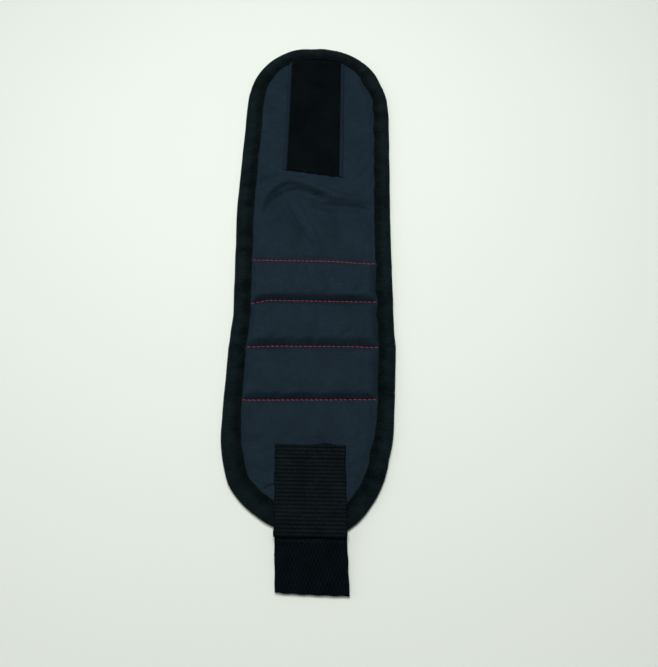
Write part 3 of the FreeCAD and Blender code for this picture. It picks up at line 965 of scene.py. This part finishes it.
def tape_strip(outline, first, last):
    """The folded tape between two lengths along the edge: points, faces and flat pattern."""
    ribs = max(int(round((last - first) / RIB)), 1)
    point, out = outline.place(np.linspace(first, last, ribs * RIB_STEPS + 1))
    share, height = spline(TAPE_SECTION, 2).T
    z = height[None, :] + tape_relief(point, share, height)
    reach = share[None, :] * tape_leg(point)[:, None]
    # Offsets to both faces of the tape, along the section's own normal
    d_step, z_step = np.gradient(reach, axis=1), np.gradient(z, axis=1)
    size = np.hypot(d_step, z_step)
    normal_d, normal_z = z_step / size, -d_step / size
    phase = np.arange(len(point)) / RIB_STEPS
    rib = RIB_DEPTH * np.abs(np.cos(math.pi * phase)) ** 0.8 - RIB_DEPTH / 2
    selvedge = smooth((1 - np.abs(np.linspace(-1, 1, len(share)))) / 0.07)
    outer = TAPE_HALF + np.outer(rib, selvedge)
    sides = []
    for side, thick in ((1, outer), (-1, np.full_like(outer, TAPE_HALF))):
        d = reach + side * normal_d * thick
        face_z = np.maximum(z + side * normal_z * thick, 0.02)
        xy = point[:, None, :] - out[:, None, :] * d[:, :, None]
        sides.append(np.concatenate([xy, face_z[:, :, None]], -1))
    rings = np.concatenate([sides[0], sides[1][:, ::-1]], 1)
    flat = np.concatenate([[0], np.cumsum(np.hypot(np.diff(share) * LEG, np.diff(height)))])
    across = np.concatenate([flat, flat[::-1]])
    pattern = (round(first / RIB) + phase) * RIB
    uv = np.stack(np.broadcast_arrays(pattern[:, None], across[None, :]), -1).reshape(-1, 2)
    return rings.reshape(-1, 3), tape_faces(*rings.shape[:2]), uv


def edge_runs(outline, number):
    """The stretches of the edge in piece number, by name: from, to, in length along the edge."""
    far, near = piece_limits(number)
    at = outline.length_at
    if number == 0:
        return {"far_end": (at(-1, near) - outline.total, at(1, near))}
    if number == len(BENDS) - 1:
        return {"near_end": (at(1, far), at(-1, far))}
    right, left = (at(1, far), at(1, near)), (at(-1, near), at(-1, far))
    return {f"right_{number + 1}": right, f"left_{number + 1}": left}


def binding_nodes(word, number):
    """The CAD nodes that a stretch of the binding stands for."""
    if number == 0:
        return ["binding_flap_1"]
    if number == len(BENDS) - 1:
        return ["binding_base_2"] + [f"binding_{side}_{PANELS[number]}" for side in ("left", "right")]
    return [f"binding_{word.split('_')[0]}_{PANELS[number]}"]


def make_binding(outline, material):
    for number in range(len(BENDS)):
        for word, (first, end) in edge_runs(outline, number).items():
            strip = tape_strip(outline, first, end)
            piece = make_piece(f"binding_{word}", *strip, material, "binding_tape", 70)
            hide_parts(*binding_nodes(word, number))
            bend_piece(piece)


# ---------------------------------------------------------------- stitches


def tube_faces(rings, sides, offset=0):
    """The faces of a closed tube, ring after ring."""
    faces = []
    for ring in range(rings - 1):
        for index in range(sides):
            first = offset + ring * sides + index
            second = offset + ring * sides + (index + 1) % sides
            faces.append((first, second, second + sides, first + sides))
    faces.append(tuple(offset + index for index in reversed(range(sides))))
    faces.append(tuple(offset + (rings - 1) * sides + index for index in range(sides)))
    return faces


def stitch_tubes(stitches, radius, sides, rings, ply=0.14):
    """Short threads from start to end that dive into the cloth at both ends."""
    verts, faces, uv = [], [], []
    angle = np.arange(sides) * 2 * math.pi / sides
    for number, (start, end) in enumerate(stitches):
        start, end = np.array(start, float), np.array(end, float)
        along = end - start
        length = np.linalg.norm(along)
        along /= length
        side = np.cross((0, 0, 1), along)
        side /= np.linalg.norm(side)
        up = np.cross(along, side)
        offset = len(verts)
        for ring in range(rings):
            share = ring / (rings - 1)
            bow = math.sin(math.pi * share)
            middle = start + along * length * share + up * (bow**0.6 - 1) * radius * 1.5
            thick = radius * (0.35 + 0.65 * bow**0.4)
            strands = 1 + ply * np.cos(2 * (angle - share * length * 2.2))
            circle = np.outer(np.cos(angle) * strands, side) + np.outer(np.sin(angle) * strands, up)
            verts.extend(middle + circle * thick)
            uv.extend((number * 3 + share * length, a * radius) for a in angle)
        faces += tube_faces(rings, sides, offset)
    return verts, faces, uv


def thread_line(points, radius, sides=6):
    """A loose thread along points."""
    line = spline(points, 6)
    verts, uv = [], []
    angle = np.arange(sides) * 2 * math.pi / sides
    for number, (point, along) in enumerate(zip(line, np.gradient(line, axis=0))):
        along = along / np.linalg.norm(along)
        side = np.cross((0, 0, 1), along)
        side /= max(np.linalg.norm(side), 1e-6)
        up = np.cross(along, side)
        circle = np.outer(np.cos(angle), side) + np.outer(np.sin(angle), up)
        verts.extend(point + circle * radius)
        uv.extend((number * 0.3, a * radius) for a in angle)
    return verts, tube_faces(len(line), sides), uv


def joined(*parts):
    """Several (points, faces, uv) as one."""
    verts, faces, uv = [], [], []
    for part_verts, part_faces, part_uv in parts:
        offset = len(verts)
        verts.extend(part_verts)
        faces.extend(tuple(index + offset for index in face) for face in part_faces)
        uv.extend(part_uv)
    return verts, faces, uv


def on_cloth(drape, spots, lift):
    """The points at (x, y) spots, lifted off the cloth."""
    across, along = np.array(spots, float).T
    return [(x, y, z + lift) for (x, y), z in zip(spots, drape.surface(across, along).tolist())]


def black_stitches(name, stitches, radius, material):
    piece = make_piece(name, *stitch_tubes(stitches, radius, 6, 7), material, "black_thread")
    bend_piece(piece)


def make_red_rows(outline, drape, material):
    """28 slanted stitches across each row."""
    count, length, radius, slant = 28, 2.05, 0.25, 0.25
    draw = random.Random(23)
    for row, number in enumerate(ROWS):
        left = float(outline.half_width(-1, BEND_Y[number], LEG + 0.1))
        right = float(outline.half_width(1, BEND_Y[number], LEG - 0.3))
        pitch = (right - left) / count
        stitches = []
        for index in range(count):
            middle = left + pitch * (index + 0.5) + draw.uniform(-0.12, 0.12)
            tilt = slant + draw.uniform(-0.08, 0.08)
            spots = []
            for end in (-1, 1):
                x = middle + end * length / 2
                spots.append((x, float(row_y(row, x)) - end * tilt / 2 + draw.uniform(-0.05, 0.05)))
            stitches.append(on_cloth(drape, spots, radius * 0.75))
        tubes = stitch_tubes(stitches, radius, 10, 11)
        piece = make_piece(f"red_row_{row + 1}", *tubes, material, "red_thread")
        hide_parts(f"row_stitching_{row + 1}")
        bend_piece(piece)


def make_binding_stitches(outline, material):
    """The black line that closes the binding, a little outside its inner edge."""
    pitch, length = 3.0, 2.3
    for number in range(len(BENDS)):
        stitches = []
        for first, end in edge_runs(outline, number).values():
            count = int((end - first) / pitch)
            for index in range(count):
                middle = first + (end - first) * (index + 0.5) / count
                point, out = outline.place(np.array([middle - length / 2, middle + length / 2]))
                spots = point - out * (tape_leg(point) * 0.84)[:, None]
                stitches.append([(x, y, 3.12) for x, y in spots])
        black_stitches(f"binding_stitching_{number + 1}", stitches, 0.2, material)


# ---------------------------------------------------------------- loop tape


PATCH_LOW, PATCH_HIGH = box("loop_patch_2")
PATCH_X = (PATCH_LOW.x + PATCH_HIGH.x) / 2
PATCH_HALF = (PATCH_HIGH.x - PATCH_LOW.x) / 2 + 0.5
PILE_HALF = PATCH_HALF - 2.6
PATCH_END_Y = box("loop_patch_3")[0].y


def patch_end(x):
    """The y of the loop tape's cut end, which is not quite square."""
    return PATCH_END_Y - 1.6 - 0.148 * (x - PATCH_X) - 0.2 * np.sin(x * 0.9)


def patch_height(x, y, drape):
    """The loop tape's upper face: pile between two flat woven edges, tucked under the binding."""
    draw = waves(29, 16, 1.3, 3.2)
    fine = waves(31, 16, 0.9, 1.8)
    flat = drape.surface(x, y) + 0.55
    edge = smooth((PILE_HALF + 0.25 * np.sin(y * 0.7) - np.abs(x - PATCH_X)) / 0.7)
    cut = smooth((y - patch_end(x) - 0.3) / 0.8)
    tuck = smooth((inset(x, y) - LEG + 0.3) / 2.0)
    pile = 0.55 + 0.1 * draw(x, y) + 0.1 * fine(x, y) + 0.05 * SMALL_WAVES(x, y)
    weave = 0.05 * np.abs(np.sin(math.pi * y / 0.7))
    side = smooth((PATCH_HALF - np.abs(x - PATCH_X)) / 0.25)
    height = flat + weave + pile * edge * cut * tuck - 0.35 * (1 - side)
    under = EDGE_TOP + 0.02 + smooth((inset(x, y) - LEG + 0.9) / 1.4) * 6
    return np.minimum(height, under)


def make_loop_tape(drape, material):
    cell = 0.5
    for number in range(3):
        far, near = piece_limits(number)
        columns = int(2 * PATCH_HALF / cell) + 1
        x = np.linspace(PATCH_X - PATCH_HALF, PATCH_X + PATCH_HALF, columns)
        top_y = np.full(columns, far)
        if number == 0:
            reach = HALF - LEG + 2.2 + waver(x, np.full(columns, 8.0))
            top_y = FAR_Y + np.sqrt(reach**2 - x**2)
        low_y = np.full(columns, near) if number < 2 else patch_end(x)
        rows = int(np.mean(top_y - low_y) / cell) + 1
        share = np.linspace(0, 1, rows)[:, None]
        y = low_y[None, :] + (top_y - low_y)[None, :] * share
        x = np.repeat(x[None, :], rows, axis=0)
        top = patch_height(x, y, drape)
        low = np.minimum(drape.surface(x, y) + 0.03, top - 0.15)
        flat = np.stack([x - PATCH_X, y], -1).reshape(-1, 2)
        piece = slab_piece(f"loop_tape_{number + 1}", x, y, top, low, material, "loop_pile", flat)
        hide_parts(f"loop_patch_{number + 1}")
        declare_sheet(x, y)
        bend_piece(piece)


def make_loop_stitches(drape, material):
    """The line that sews the loop tape down along both edges and its cut end."""
    pitch, length = 2.6, 1.9
    inner = PATCH_HALF - 0.9
    for number in range(3):
        far, near = piece_limits(number)
        if number == 0:
            far = FAR_Y + math.sqrt((HALF - LEG) ** 2 - (abs(PATCH_X) + inner) ** 2) - 1
        stitches = []
        low = max(near, PATCH_END_Y + 1.5) if number == 2 else near
        count = int((far - low) / pitch)
        for side in (-1, 1):
            line_x = PATCH_X + side * inner
            stop = low if number < 2 else float(patch_end(line_x)) + 1.2
            for index in range(count):
                middle = stop + (far - stop) * (index + 0.5) / count
                spots = [(line_x, middle - length / 2), (line_x, middle + length / 2)]
                stitches.append(on_cloth(drape, spots, 0.66))
        if number == 2:
            across = int(2 * inner / pitch)
            for index in range(across):
                middle = PATCH_X - inner + 2 * inner * (index + 0.5) / across
                spots = [(x, float(patch_end(x)) + 0.75) for x in (middle - length / 2, middle + length / 2)]
                stitches.append(on_cloth(drape, spots, 0.7))
        black_stitches(f"loop_tape_stitching_{number + 1}", stitches, 0.17, material)


# ---------------------------------------------------------------- strap


WEB_LOW, WEB_HIGH = box("webbing_1")
WEB_LEFT, WEB_RIGHT = WEB_LOW.x, WEB_HIGH.x
WEB_TOP_Y, WEB_END_Y = WEB_HIGH.y, box("webbing_2")[0].y
STRAP_X, WEB_HALF = (WEB_LEFT + WEB_RIGHT) / 2, (WEB_RIGHT - WEB_LEFT) / 2
WEB_LEAN, TAIL_LEAN = 0.7, 0.8  # how far each leans off the middle of its CAD box
FOLD_Y = WEB_TOP_Y - 8  # the webbing's folded-under end
WEB_SEAMS = (WEB_TOP_Y - 2.4, FOLD_Y - 1.2, BAND_END_Y + 3.5)
KNIT_ACROSS, KNIT_ALONG = 1.8, 4.3  # the hook tape's knit
WARP, WEFT = 1.7, 1.95  # the spacing of the webbing's beads and of its ribs
TAIL_LOW, TAIL_HIGH = box("hook_tape_tail")
HOOK_LOW, HOOK_HIGH = box("hook_field")
ROOT_LOW, ROOT_HIGH = box("hook_tape_root")
TAPE_LEFT, TAPE_RIGHT = TAIL_LOW.x, TAIL_HIGH.x
TAPE_END_Y, TAPE_TOP_Y = TAIL_LOW.y, ROOT_HIGH.y


def ribbed_weave(x, y):
    """The relief of thick webbing, 0 to 1: ribs across it, beaded by the warp."""
    rib = np.abs(np.sin(math.pi * y / WEFT))
    bead = np.abs(np.sin(math.pi * (x / WARP + 0.5 * np.mod(np.floor(y / WEFT), 2))))
    return np.sqrt(rib) * (0.65 + 0.35 * np.sqrt(bead))


def web_middle(y):
    """x of the webbing's middle: the strap runs a little askew."""
    return STRAP_X + WEB_LEAN * (2 * smooth((WEB_TOP_Y - y) / (WEB_TOP_Y - WEB_END_Y)) - 1)


def tail_middle(y):
    share = (TAPE_TOP_Y - y) / (TAPE_TOP_Y - TAPE_END_Y)
    return (TAPE_LEFT + TAPE_RIGHT) / 2 + TAIL_LEAN * (2 * share - 1)


def web_base(x, y):
    """The surface under the webbing: the cloth, then up and over the binding."""
    over = smooth((11.5 - inset(x, y)) / 2.5)
    past = smooth((BAND_END_Y + 1.0 - y) / 3.5)
    return FIELD_TOP + 0.12 + 0.5 * over - 0.55 * past


def web_grid():
    """The webbing's grid: x and y, x from its middle line, share along it, and its end's hump."""
    cell = 0.2
    across = np.linspace(-1, 1, int(2 * WEB_HALF / cell) + 1)[None, :]
    along = np.linspace(0, 1, int((WEB_TOP_Y - WEB_END_Y) / cell) + 1)[:, None]
    hump = bell(WEB_HALF * across - 7.5, 4.2)
    y = WEB_END_Y + (WEB_TOP_Y - WEB_END_Y) * along + 0 * across
    y = y + (0.9 * hump - 0.35) * smooth((along - 0.9) / 0.1)
    y = y + 0.3 * np.sin(across * 4.5 + 1) * smooth((0.06 - along) / 0.06)
    side_wave = 0.14 * np.sin(y * 0.45) + 0.1 * np.sin(y * 1.3 + 1)
    flat_x = WEB_HALF * across * (1.01 - 0.01 * (1 - along))
    x = web_middle(y) + flat_x - side_wave * across - 0.3 * (1 - along) * (across < 0)
    return x, y, flat_x, along, hump


def web_thickness(x, y, flat_x, along, hump):
    """The webbing's thickness: ribs, a folded-under end, sunk seams and rounded edges."""
    folded = smooth((y - FOLD_Y) / 0.8)
    end_ridge = bell(y - WEB_END_Y - 1.0, 0.9)
    thick = 0.95 + 0.25 * folded + 0.1 * end_ridge + 0.2 * ribbed_weave(flat_x, y)
    thick = thick + 0.1 * SMALL_WAVES(x * 0.8, y * 0.8) + 0.3 * hump * smooth((along - 0.93) / 0.05)
    round_side = WEB_HALF - np.abs(flat_x) + 0.25
    round_end = np.minimum(WEB_TOP_Y + 0.5 - y, y - WEB_END_Y + 0.15)
    soft = np.clip(np.minimum(round_side, round_end) / 0.8, 0, 1)
    thick = thick * (0.35 + 0.65 * round_over(soft))
    for seam_y in WEB_SEAMS:
        thick = thick - 0.1 * bell(y - seam_y, 0.5)
    return np.maximum(thick, 0.25)


def make_webbing(material):
    x, y, flat_x, along, hump = web_grid()
    low = web_base(x, y)
    top = low + web_thickness(x, y, flat_x, along, hump)
    flat = np.stack([flat_x, y], -1).reshape(-1, 2)
    piece = slab_piece("webbing_strap", x, y, top, low, material, "strap_webbing", flat)
    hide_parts("webbing_1", "webbing_2")
    bend_piece(piece)


def tape_low(y):
    """The hook tape's lower face: a straight slope from the band's end to the surface below."""
    end = HOOK_LOW.z + 1.39
    root = ROOT_LOW.z
    return end + (root - end) * (y - TAPE_END_Y) / (TAPE_TOP_Y - TAPE_END_Y)


def tape_end(x):
    """The hook tape's cut end, a little slanted and wavy."""
    share = (x - TAPE_LEFT) / (TAPE_RIGHT - TAPE_LEFT)
    return TAPE_END_Y + 0.1 + 0.9 * (1 - share) ** 2 + 0.15 * np.sin(x * 0.8)


def bend_tail(piece):
    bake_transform(piece)


def make_hook_tape(material):
    cell = 0.2
    columns = int((TAPE_RIGHT - TAPE_LEFT) / cell) + 1
    share_x = np.linspace(0, 1, columns)[None, :]
    rows = int((TAPE_TOP_Y - TAPE_END_Y) / cell) + 1
    share_y = np.linspace(0, 1, rows)[:, None]
    x = TAPE_LEFT + (TAPE_RIGHT - TAPE_LEFT) * share_x + 0 * share_y
    end = tape_end(x)
    y = end + (TAPE_TOP_Y - end) * share_y
    fray = 0.16 * np.abs(np.sin(y * 2.1)) * np.abs(np.sin(y * 0.37 + 1))
    # Knitted back in staggered stitches
    stitch = np.cos(2 * math.pi * x / KNIT_ACROSS) * np.cos(2 * math.pi * y / KNIT_ALONG)
    fine = np.abs(np.sin(math.pi * y / 0.72))
    relief = 0.08 + 0.06 * stitch + 0.05 * np.sqrt(fine)
    top = tape_low(y) + 0.72 + relief + 0.06 * SMALL_WAVES(x, y)
    side_gap = np.minimum(x - TAPE_LEFT + 0.2, TAPE_RIGHT + 0.1 - x)
    edge = np.clip(np.minimum(side_gap, y - end + 0.1) / 0.6, 0, 1)
    x = x - fray * smooth((share_x - 0.97) / 0.03) + 0.1 * np.sin(y * 0.5) * (1 - 2 * share_x)
    x = x + tail_middle(y) - (TAPE_LEFT + TAPE_RIGHT) / 2
    top = tape_low(y) + (top - tape_low(y)) * (0.4 + 0.6 * round_over(edge))
    under_band = smooth((y - (WEB_END_Y + 0.5)) / 1.5)
    top = top - 0.25 * under_band
    piece = slab_piece("hook_tape", x, y, top, tape_low(y), material, "hook_tape_back")
    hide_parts("hook_tape_root", "hook_tape_tail")
    bend_tail(piece)


HOOK_LINE = [(0, 0), (0, 0.45), (0.06, 0.8), (0.24, 1.08), (0.5, 1.14), (0.68, 0.98), (0.74, 0.78)]
HOOK_RADIUS, HOOK_SIDES = 0.13, 6


def hook_points(x, y, turn):
    """Rings along one hook, from its root in the tape to its bent tip."""
    root = float(tape_low(y)) + 0.05
    angle = np.arange(HOOK_SIDES) * 2 * math.pi / HOOK_SIDES
    last = len(HOOK_LINE) - 1
    verts, uv = [], []
    for ring, (reach, drop) in enumerate(HOOK_LINE):
        before, after = HOOK_LINE[max(ring - 1, 0)], HOOK_LINE[min(ring + 1, last)]
        tangent = np.array(after) - np.array(before)
        tangent = tangent / np.linalg.norm(tangent)
        thick = HOOK_RADIUS * (1.25 if ring == 0 else 1.0 if ring < last else 0.6)
        centre = np.array([x, y - turn * (reach - 0.3), root - drop])
        up = np.array([0, -turn * tangent[1], tangent[0]])
        verts.extend(centre + (np.outer(np.cos(angle), (1.0, 0, 0)) + np.outer(np.sin(angle), up)) * thick)
        uv.extend((x + a * HOOK_RADIUS, y + drop) for a in angle)
    return verts, uv


def make_hooks(material):
    """Rows of small bent hooks under the tape's free end."""
    left, right = HOOK_LOW.x, HOOK_HIGH.x
    near, far = HOOK_LOW.y + 0.8, HOOK_HIGH.y - 0.6
    columns, rows = int((right - left) / 1.55), int((far - near) / 1.5)
    parts = []
    for column in range(columns):
        for row in range(rows):
            turn = 1 if column % 2 else -1
            x = left + (column + 0.5) * (right - left) / columns
            y = near + (row + 0.5) * (far - near) / rows
            verts, uv = hook_points(x, y, turn)
            tube = tube_faces(len(HOOK_LINE), HOOK_SIDES)
            parts.append((verts, [face[::-1] for face in tube] if turn > 0 else tube, uv))
    piece = make_piece("hook_field_nylon", *joined(*parts), material, "hooks")
    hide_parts("hook_field")
    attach(piece, "tail")


def web_surface(x, y):
    folded = 0.25 if y > FOLD_Y else 0
    return float(web_base(np.array([x]), np.array([y]))[0]) + 0.9 + folded


LOOSE_THREAD = 0.13


def make_strap_stitches(material):
    """The seams that hold the webbing, a zigzag over the hook tape, and two loose thread ends."""
    pitch, length, radius = 2.6, 2.0, 0.2
    stitches = []
    for seam_y in WEB_SEAMS:
        count = int((WEB_RIGHT - WEB_LEFT - 2) / pitch)
        for index in range(count):
            x = WEB_LEFT + 1 + (WEB_RIGHT - WEB_LEFT - 2) * (index + 0.5) / count
            x += web_middle(seam_y) - STRAP_X
            ends = [x - length / 2, x + length / 2]
            stitches.append([(end, seam_y, web_surface(end, seam_y)) for end in ends])
    parts = [stitch_tubes(stitches, radius, 6, 7)]
    loose = [(WEB_LEFT + 1.4, -117.2, 4.4), (WEB_LEFT - 0.4, -117.4, 4.5), (WEB_LEFT - 2.2, -118.6, 4.1)]
    loose += [(WEB_LEFT - 4.2, -119.2, 3.9), (WEB_LEFT - 5.6, -120.6, 4.0)]
    parts.append(thread_line(loose, LOOSE_THREAD))
    spare = [(8, WEB_TOP_Y - 0.6, 5.2), (9.5, WEB_TOP_Y + 0.5, 5.3)]
    spare += [(12, WEB_TOP_Y + 0.3, 4.9), (13, WEB_TOP_Y - 1, 5.1)]
    parts.append(thread_line(spare, LOOSE_THREAD))
    piece = make_piece("webbing_stitching", *joined(*parts), material, "black_thread")
    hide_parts("strap_stitching_upper", "strap_stitching_lower")
    bend_piece(piece)
    zigzag = []
    count = 24
    width = TAPE_RIGHT - TAPE_LEFT - 2.4
    left = float(tail_middle(WEB_END_Y)) - width / 2
    top_y, low_y = WEB_END_Y - 0.3, WEB_END_Y - 2.6
    for index in range(count):
        first = left + width * index / count
        ys = (top_y, low_y) if index % 2 else (low_y, top_y)
        ends = [(first, ys[0]), (first + width / count, ys[1])]
        zigzag.append([(x, y, float(tape_low(y)) + 0.8) for x, y in ends])
    tubes = stitch_tubes(zigzag, 0.17, 6, 7)
    bend_tail(make_piece("hook_tape_stitching", *tubes, material, "black_thread"))


# ---------------------------------------------------------------- inside the channels


RECESS_WALL = 0.12


def near_magnet(x, y, low, high, walls):
    """Where a point lies on one of three magnets, with a few walls' width round it."""
    gap = walls * RECESS_WALL
    starts = [low.x + index * MAGNET_PITCH for index in range(3)]
    across = sum((x > start - gap) & (x < start + MAGNET + gap) for start in starts)
    return (across > 0) & (np.abs(y - (low.y + high.y) / 2) < (high.y - low.y) / 2 + gap)


def pad_grid(low, high, half_x, near_y, far_y):
    """A pad's grid of x and y, with lines on both sides of each magnet's edges."""
    x_lines = set(np.arange(-half_x, half_x + 0.1, 1.0).round(3))
    y_lines = set(np.linspace(near_y, far_y, 24).round(3))
    for walls in (1, 2):
        gap = walls * RECESS_WALL
        for index in range(3):
            start = low.x + index * MAGNET_PITCH
            x_lines |= {start - gap, start + MAGNET + gap}
        middle, half_y = (low.y + high.y) / 2, (high.y - low.y) / 2
        y_lines |= {middle - half_y - gap, middle + half_y + gap}
    return np.meshgrid(sorted(x_lines), sorted(y_lines))


def make_pads(drape, material):
    """Foam under the cloth of each channel, with a recess for each magnet."""
    for channel, (low_magnet, high_magnet) in enumerate(MAGNETS):
        half_x = min(box(f"pad_channel_{channel + 1}")[1].x, HALF - LEG - 1)
        far_y, near_y = ROW_Y[channel] - 2.4, ROW_Y[channel + 1] + 2.4
        x, y = pad_grid(low_magnet, high_magnet, half_x, near_y, far_y)
        cover = drape.surface(x, y) - COVER - 0.25
        side = np.clip(np.minimum(half_x - np.abs(x), np.minimum(far_y - y, y - near_y)) / 2.5, 0, 1)
        middle = (LINING_TOP + SEAM_TOP) / 2 + 0.3
        crown = middle + (cover - middle) * round_over(side)
        top = np.minimum(np.maximum(crown, middle + 0.05 * side), cover.clip(middle))
        recess = near_magnet(x, y, low_magnet, high_magnet, 1.5)
        top = np.where(recess, np.minimum(top, low_magnet.z - 0.05), top)
        low = middle - (middle - LINING_TOP - 0.15) * round_over(side) - 0.02
        piece = slab_piece(f"foam_pad_{channel + 1}", x, y, top, low, material, "pad_foam")
        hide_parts(f"pad_channel_{channel + 1}")
        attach(piece, f"channel_{channel + 1}")


def finish_magnets(material):
    for channel in (1, 2, 3):
        magnets = frame["nodes"][f"magnets_channel_{channel}"]
        for place in magnets.material_slots:
            place.material = material
        if not magnets.material_slots:
            magnets.data.materials.append(material)


# ---------------------------------------------------------------- studio


FLOOR_SIDE = 12.0  # half the floor's side in metres
FLOOR_DROP = 0.0002
FLOOR_TONES = (0.80, 0.845, 0.79), (0.82, 0.86, 0.81)


def make_floor():
    mesh = bpy.data.meshes.new("studio_floor")
    corners = [(x * FLOOR_SIDE, y * FLOOR_SIDE, 0) for x, y in ((-1, -1), (1, -1), (1, 1), (-1, 1))]
    mesh.from_pydata(corners, [], [(0, 1, 2, 3)])
    floor = bpy.data.objects.new("studio_floor", mesh)
    floor.location.z = -FLOOR_DROP
    bpy.context.scene.collection.objects.link(floor)
    finish = {"Roughness": 0.9, "Specular_IOR_Level": 0.1}
    mesh.materials.append(mottled_material("pale_floor", 6, 2, *FLOOR_TONES, **finish)[0])


def make_light(name, place, aim, size, power, colour):
    data = bpy.data.lights.new(name, "AREA")
    data.shape = "RECTANGLE"
    data.size, data.size_y = size
    data.energy = power
    data.color = colour
    light = bpy.data.objects.new(name, data)
    light.location = place
    light.rotation_mode = "QUATERNION"
    light.rotation_quaternion = (Vector(aim) - Vector(place)).to_track_quat("-Z", "Y")
    bpy.context.scene.collection.objects.link(light)


HORIZON_LIGHT, SKY_LIGHT = 0.7, 0.19  # the pale walls of the studio and its ceiling


def make_studio():
    scene = bpy.context.scene
    scene.view_settings.view_transform = "Standard"
    world = bpy.data.worlds.new("studio")
    world.use_nodes = True
    tree = world.node_tree
    background = tree.nodes["Background"]
    background.inputs["Color"].default_value = (0.97, 1.0, 0.98, 1)
    place = tree.nodes.new("ShaderNodeTexCoord")
    parts = tree.nodes.new("ShaderNodeSeparateXYZ")
    tree.links.new(place.outputs["Generated"], parts.inputs[0])
    glow = tree.nodes.new("ShaderNodeMapRange")
    glow.inputs["From Min"].default_value = 0.0
    glow.inputs["From Max"].default_value = 0.35
    glow.inputs["To Min"].default_value = HORIZON_LIGHT
    glow.inputs["To Max"].default_value = SKY_LIGHT
    tree.links.new(parts.outputs["Z"], glow.inputs["Value"])
    tree.links.new(glow.outputs[0], background.inputs["Strength"])
    scene.world = world
    make_light("high_softbox", (-0.15, 1.0, 4.0), (0, 0, 0), (1.6, 1.2), 61, (1.0, 0.985, 0.97))
    make_light("near_softbox", (-0.02, 0.12, 0.52), (0, 0, 0), (0.24, 0.2), 1.4, (0.97, 1.0, 0.98))
    make_light("side_softbox", (-2.0, 0.3, 1.3), (0, 0, 0), (1.0, 1.6), 8.5, (0.98, 1.0, 1.0))


def make_camera():
    """The photograph's angle: 67 degrees down, from a little to the right of the band's line."""
    data = bpy.data.cameras.new("camera")
    data.lens = 38.05
    data.sensor_width = 36
    data.clip_start = 0.01
    camera = bpy.data.objects.new("camera", data)
    down, turn, distance = math.radians(67), math.radians(1.1), 0.3895
    aim = Vector((9.4 * MM, (TOP_Y - 206) * MM, FIELD_TOP * MM))
    back = Vector((math.sin(turn) * math.cos(down), -math.cos(turn) * math.cos(down), math.sin(down)))
    camera.location = aim + back * distance
    camera.rotation_mode = "QUATERNION"
    camera.rotation_quaternion = (-back).to_track_quat("-Z", "Y")
    bpy.context.scene.collection.objects.link(camera)
    bpy.context.scene.camera = camera


def main():
    make_camera()
    make_studio()
    make_floor()
    outline = Outline()
    drape = Drape()
    drape.simulate()
    black = thread_material("black_thread", linear(2, 4, 6), linear(13, 19, 22), 0.6)
    red = thread_material("red_thread", linear(102, 24, 36), linear(178, 68, 82), 0.45)
    make_shell(outline, drape, navy_cloth())
    make_lining(outline, lining_material())
    make_binding(outline, binding_tape())
    make_binding_stitches(outline, black)
    make_red_rows(outline, drape, red)
    make_loop_tape(drape, loop_pile(PILE_HALF))
    make_loop_stitches(drape, black)
    make_webbing(webbing_material())
    make_hook_tape(hook_tape_material())
    make_hooks(hooks_material())
    make_strap_stitches(black)
    make_pads(drape, foam_material())
    finish_magnets(magnet_material())


main()
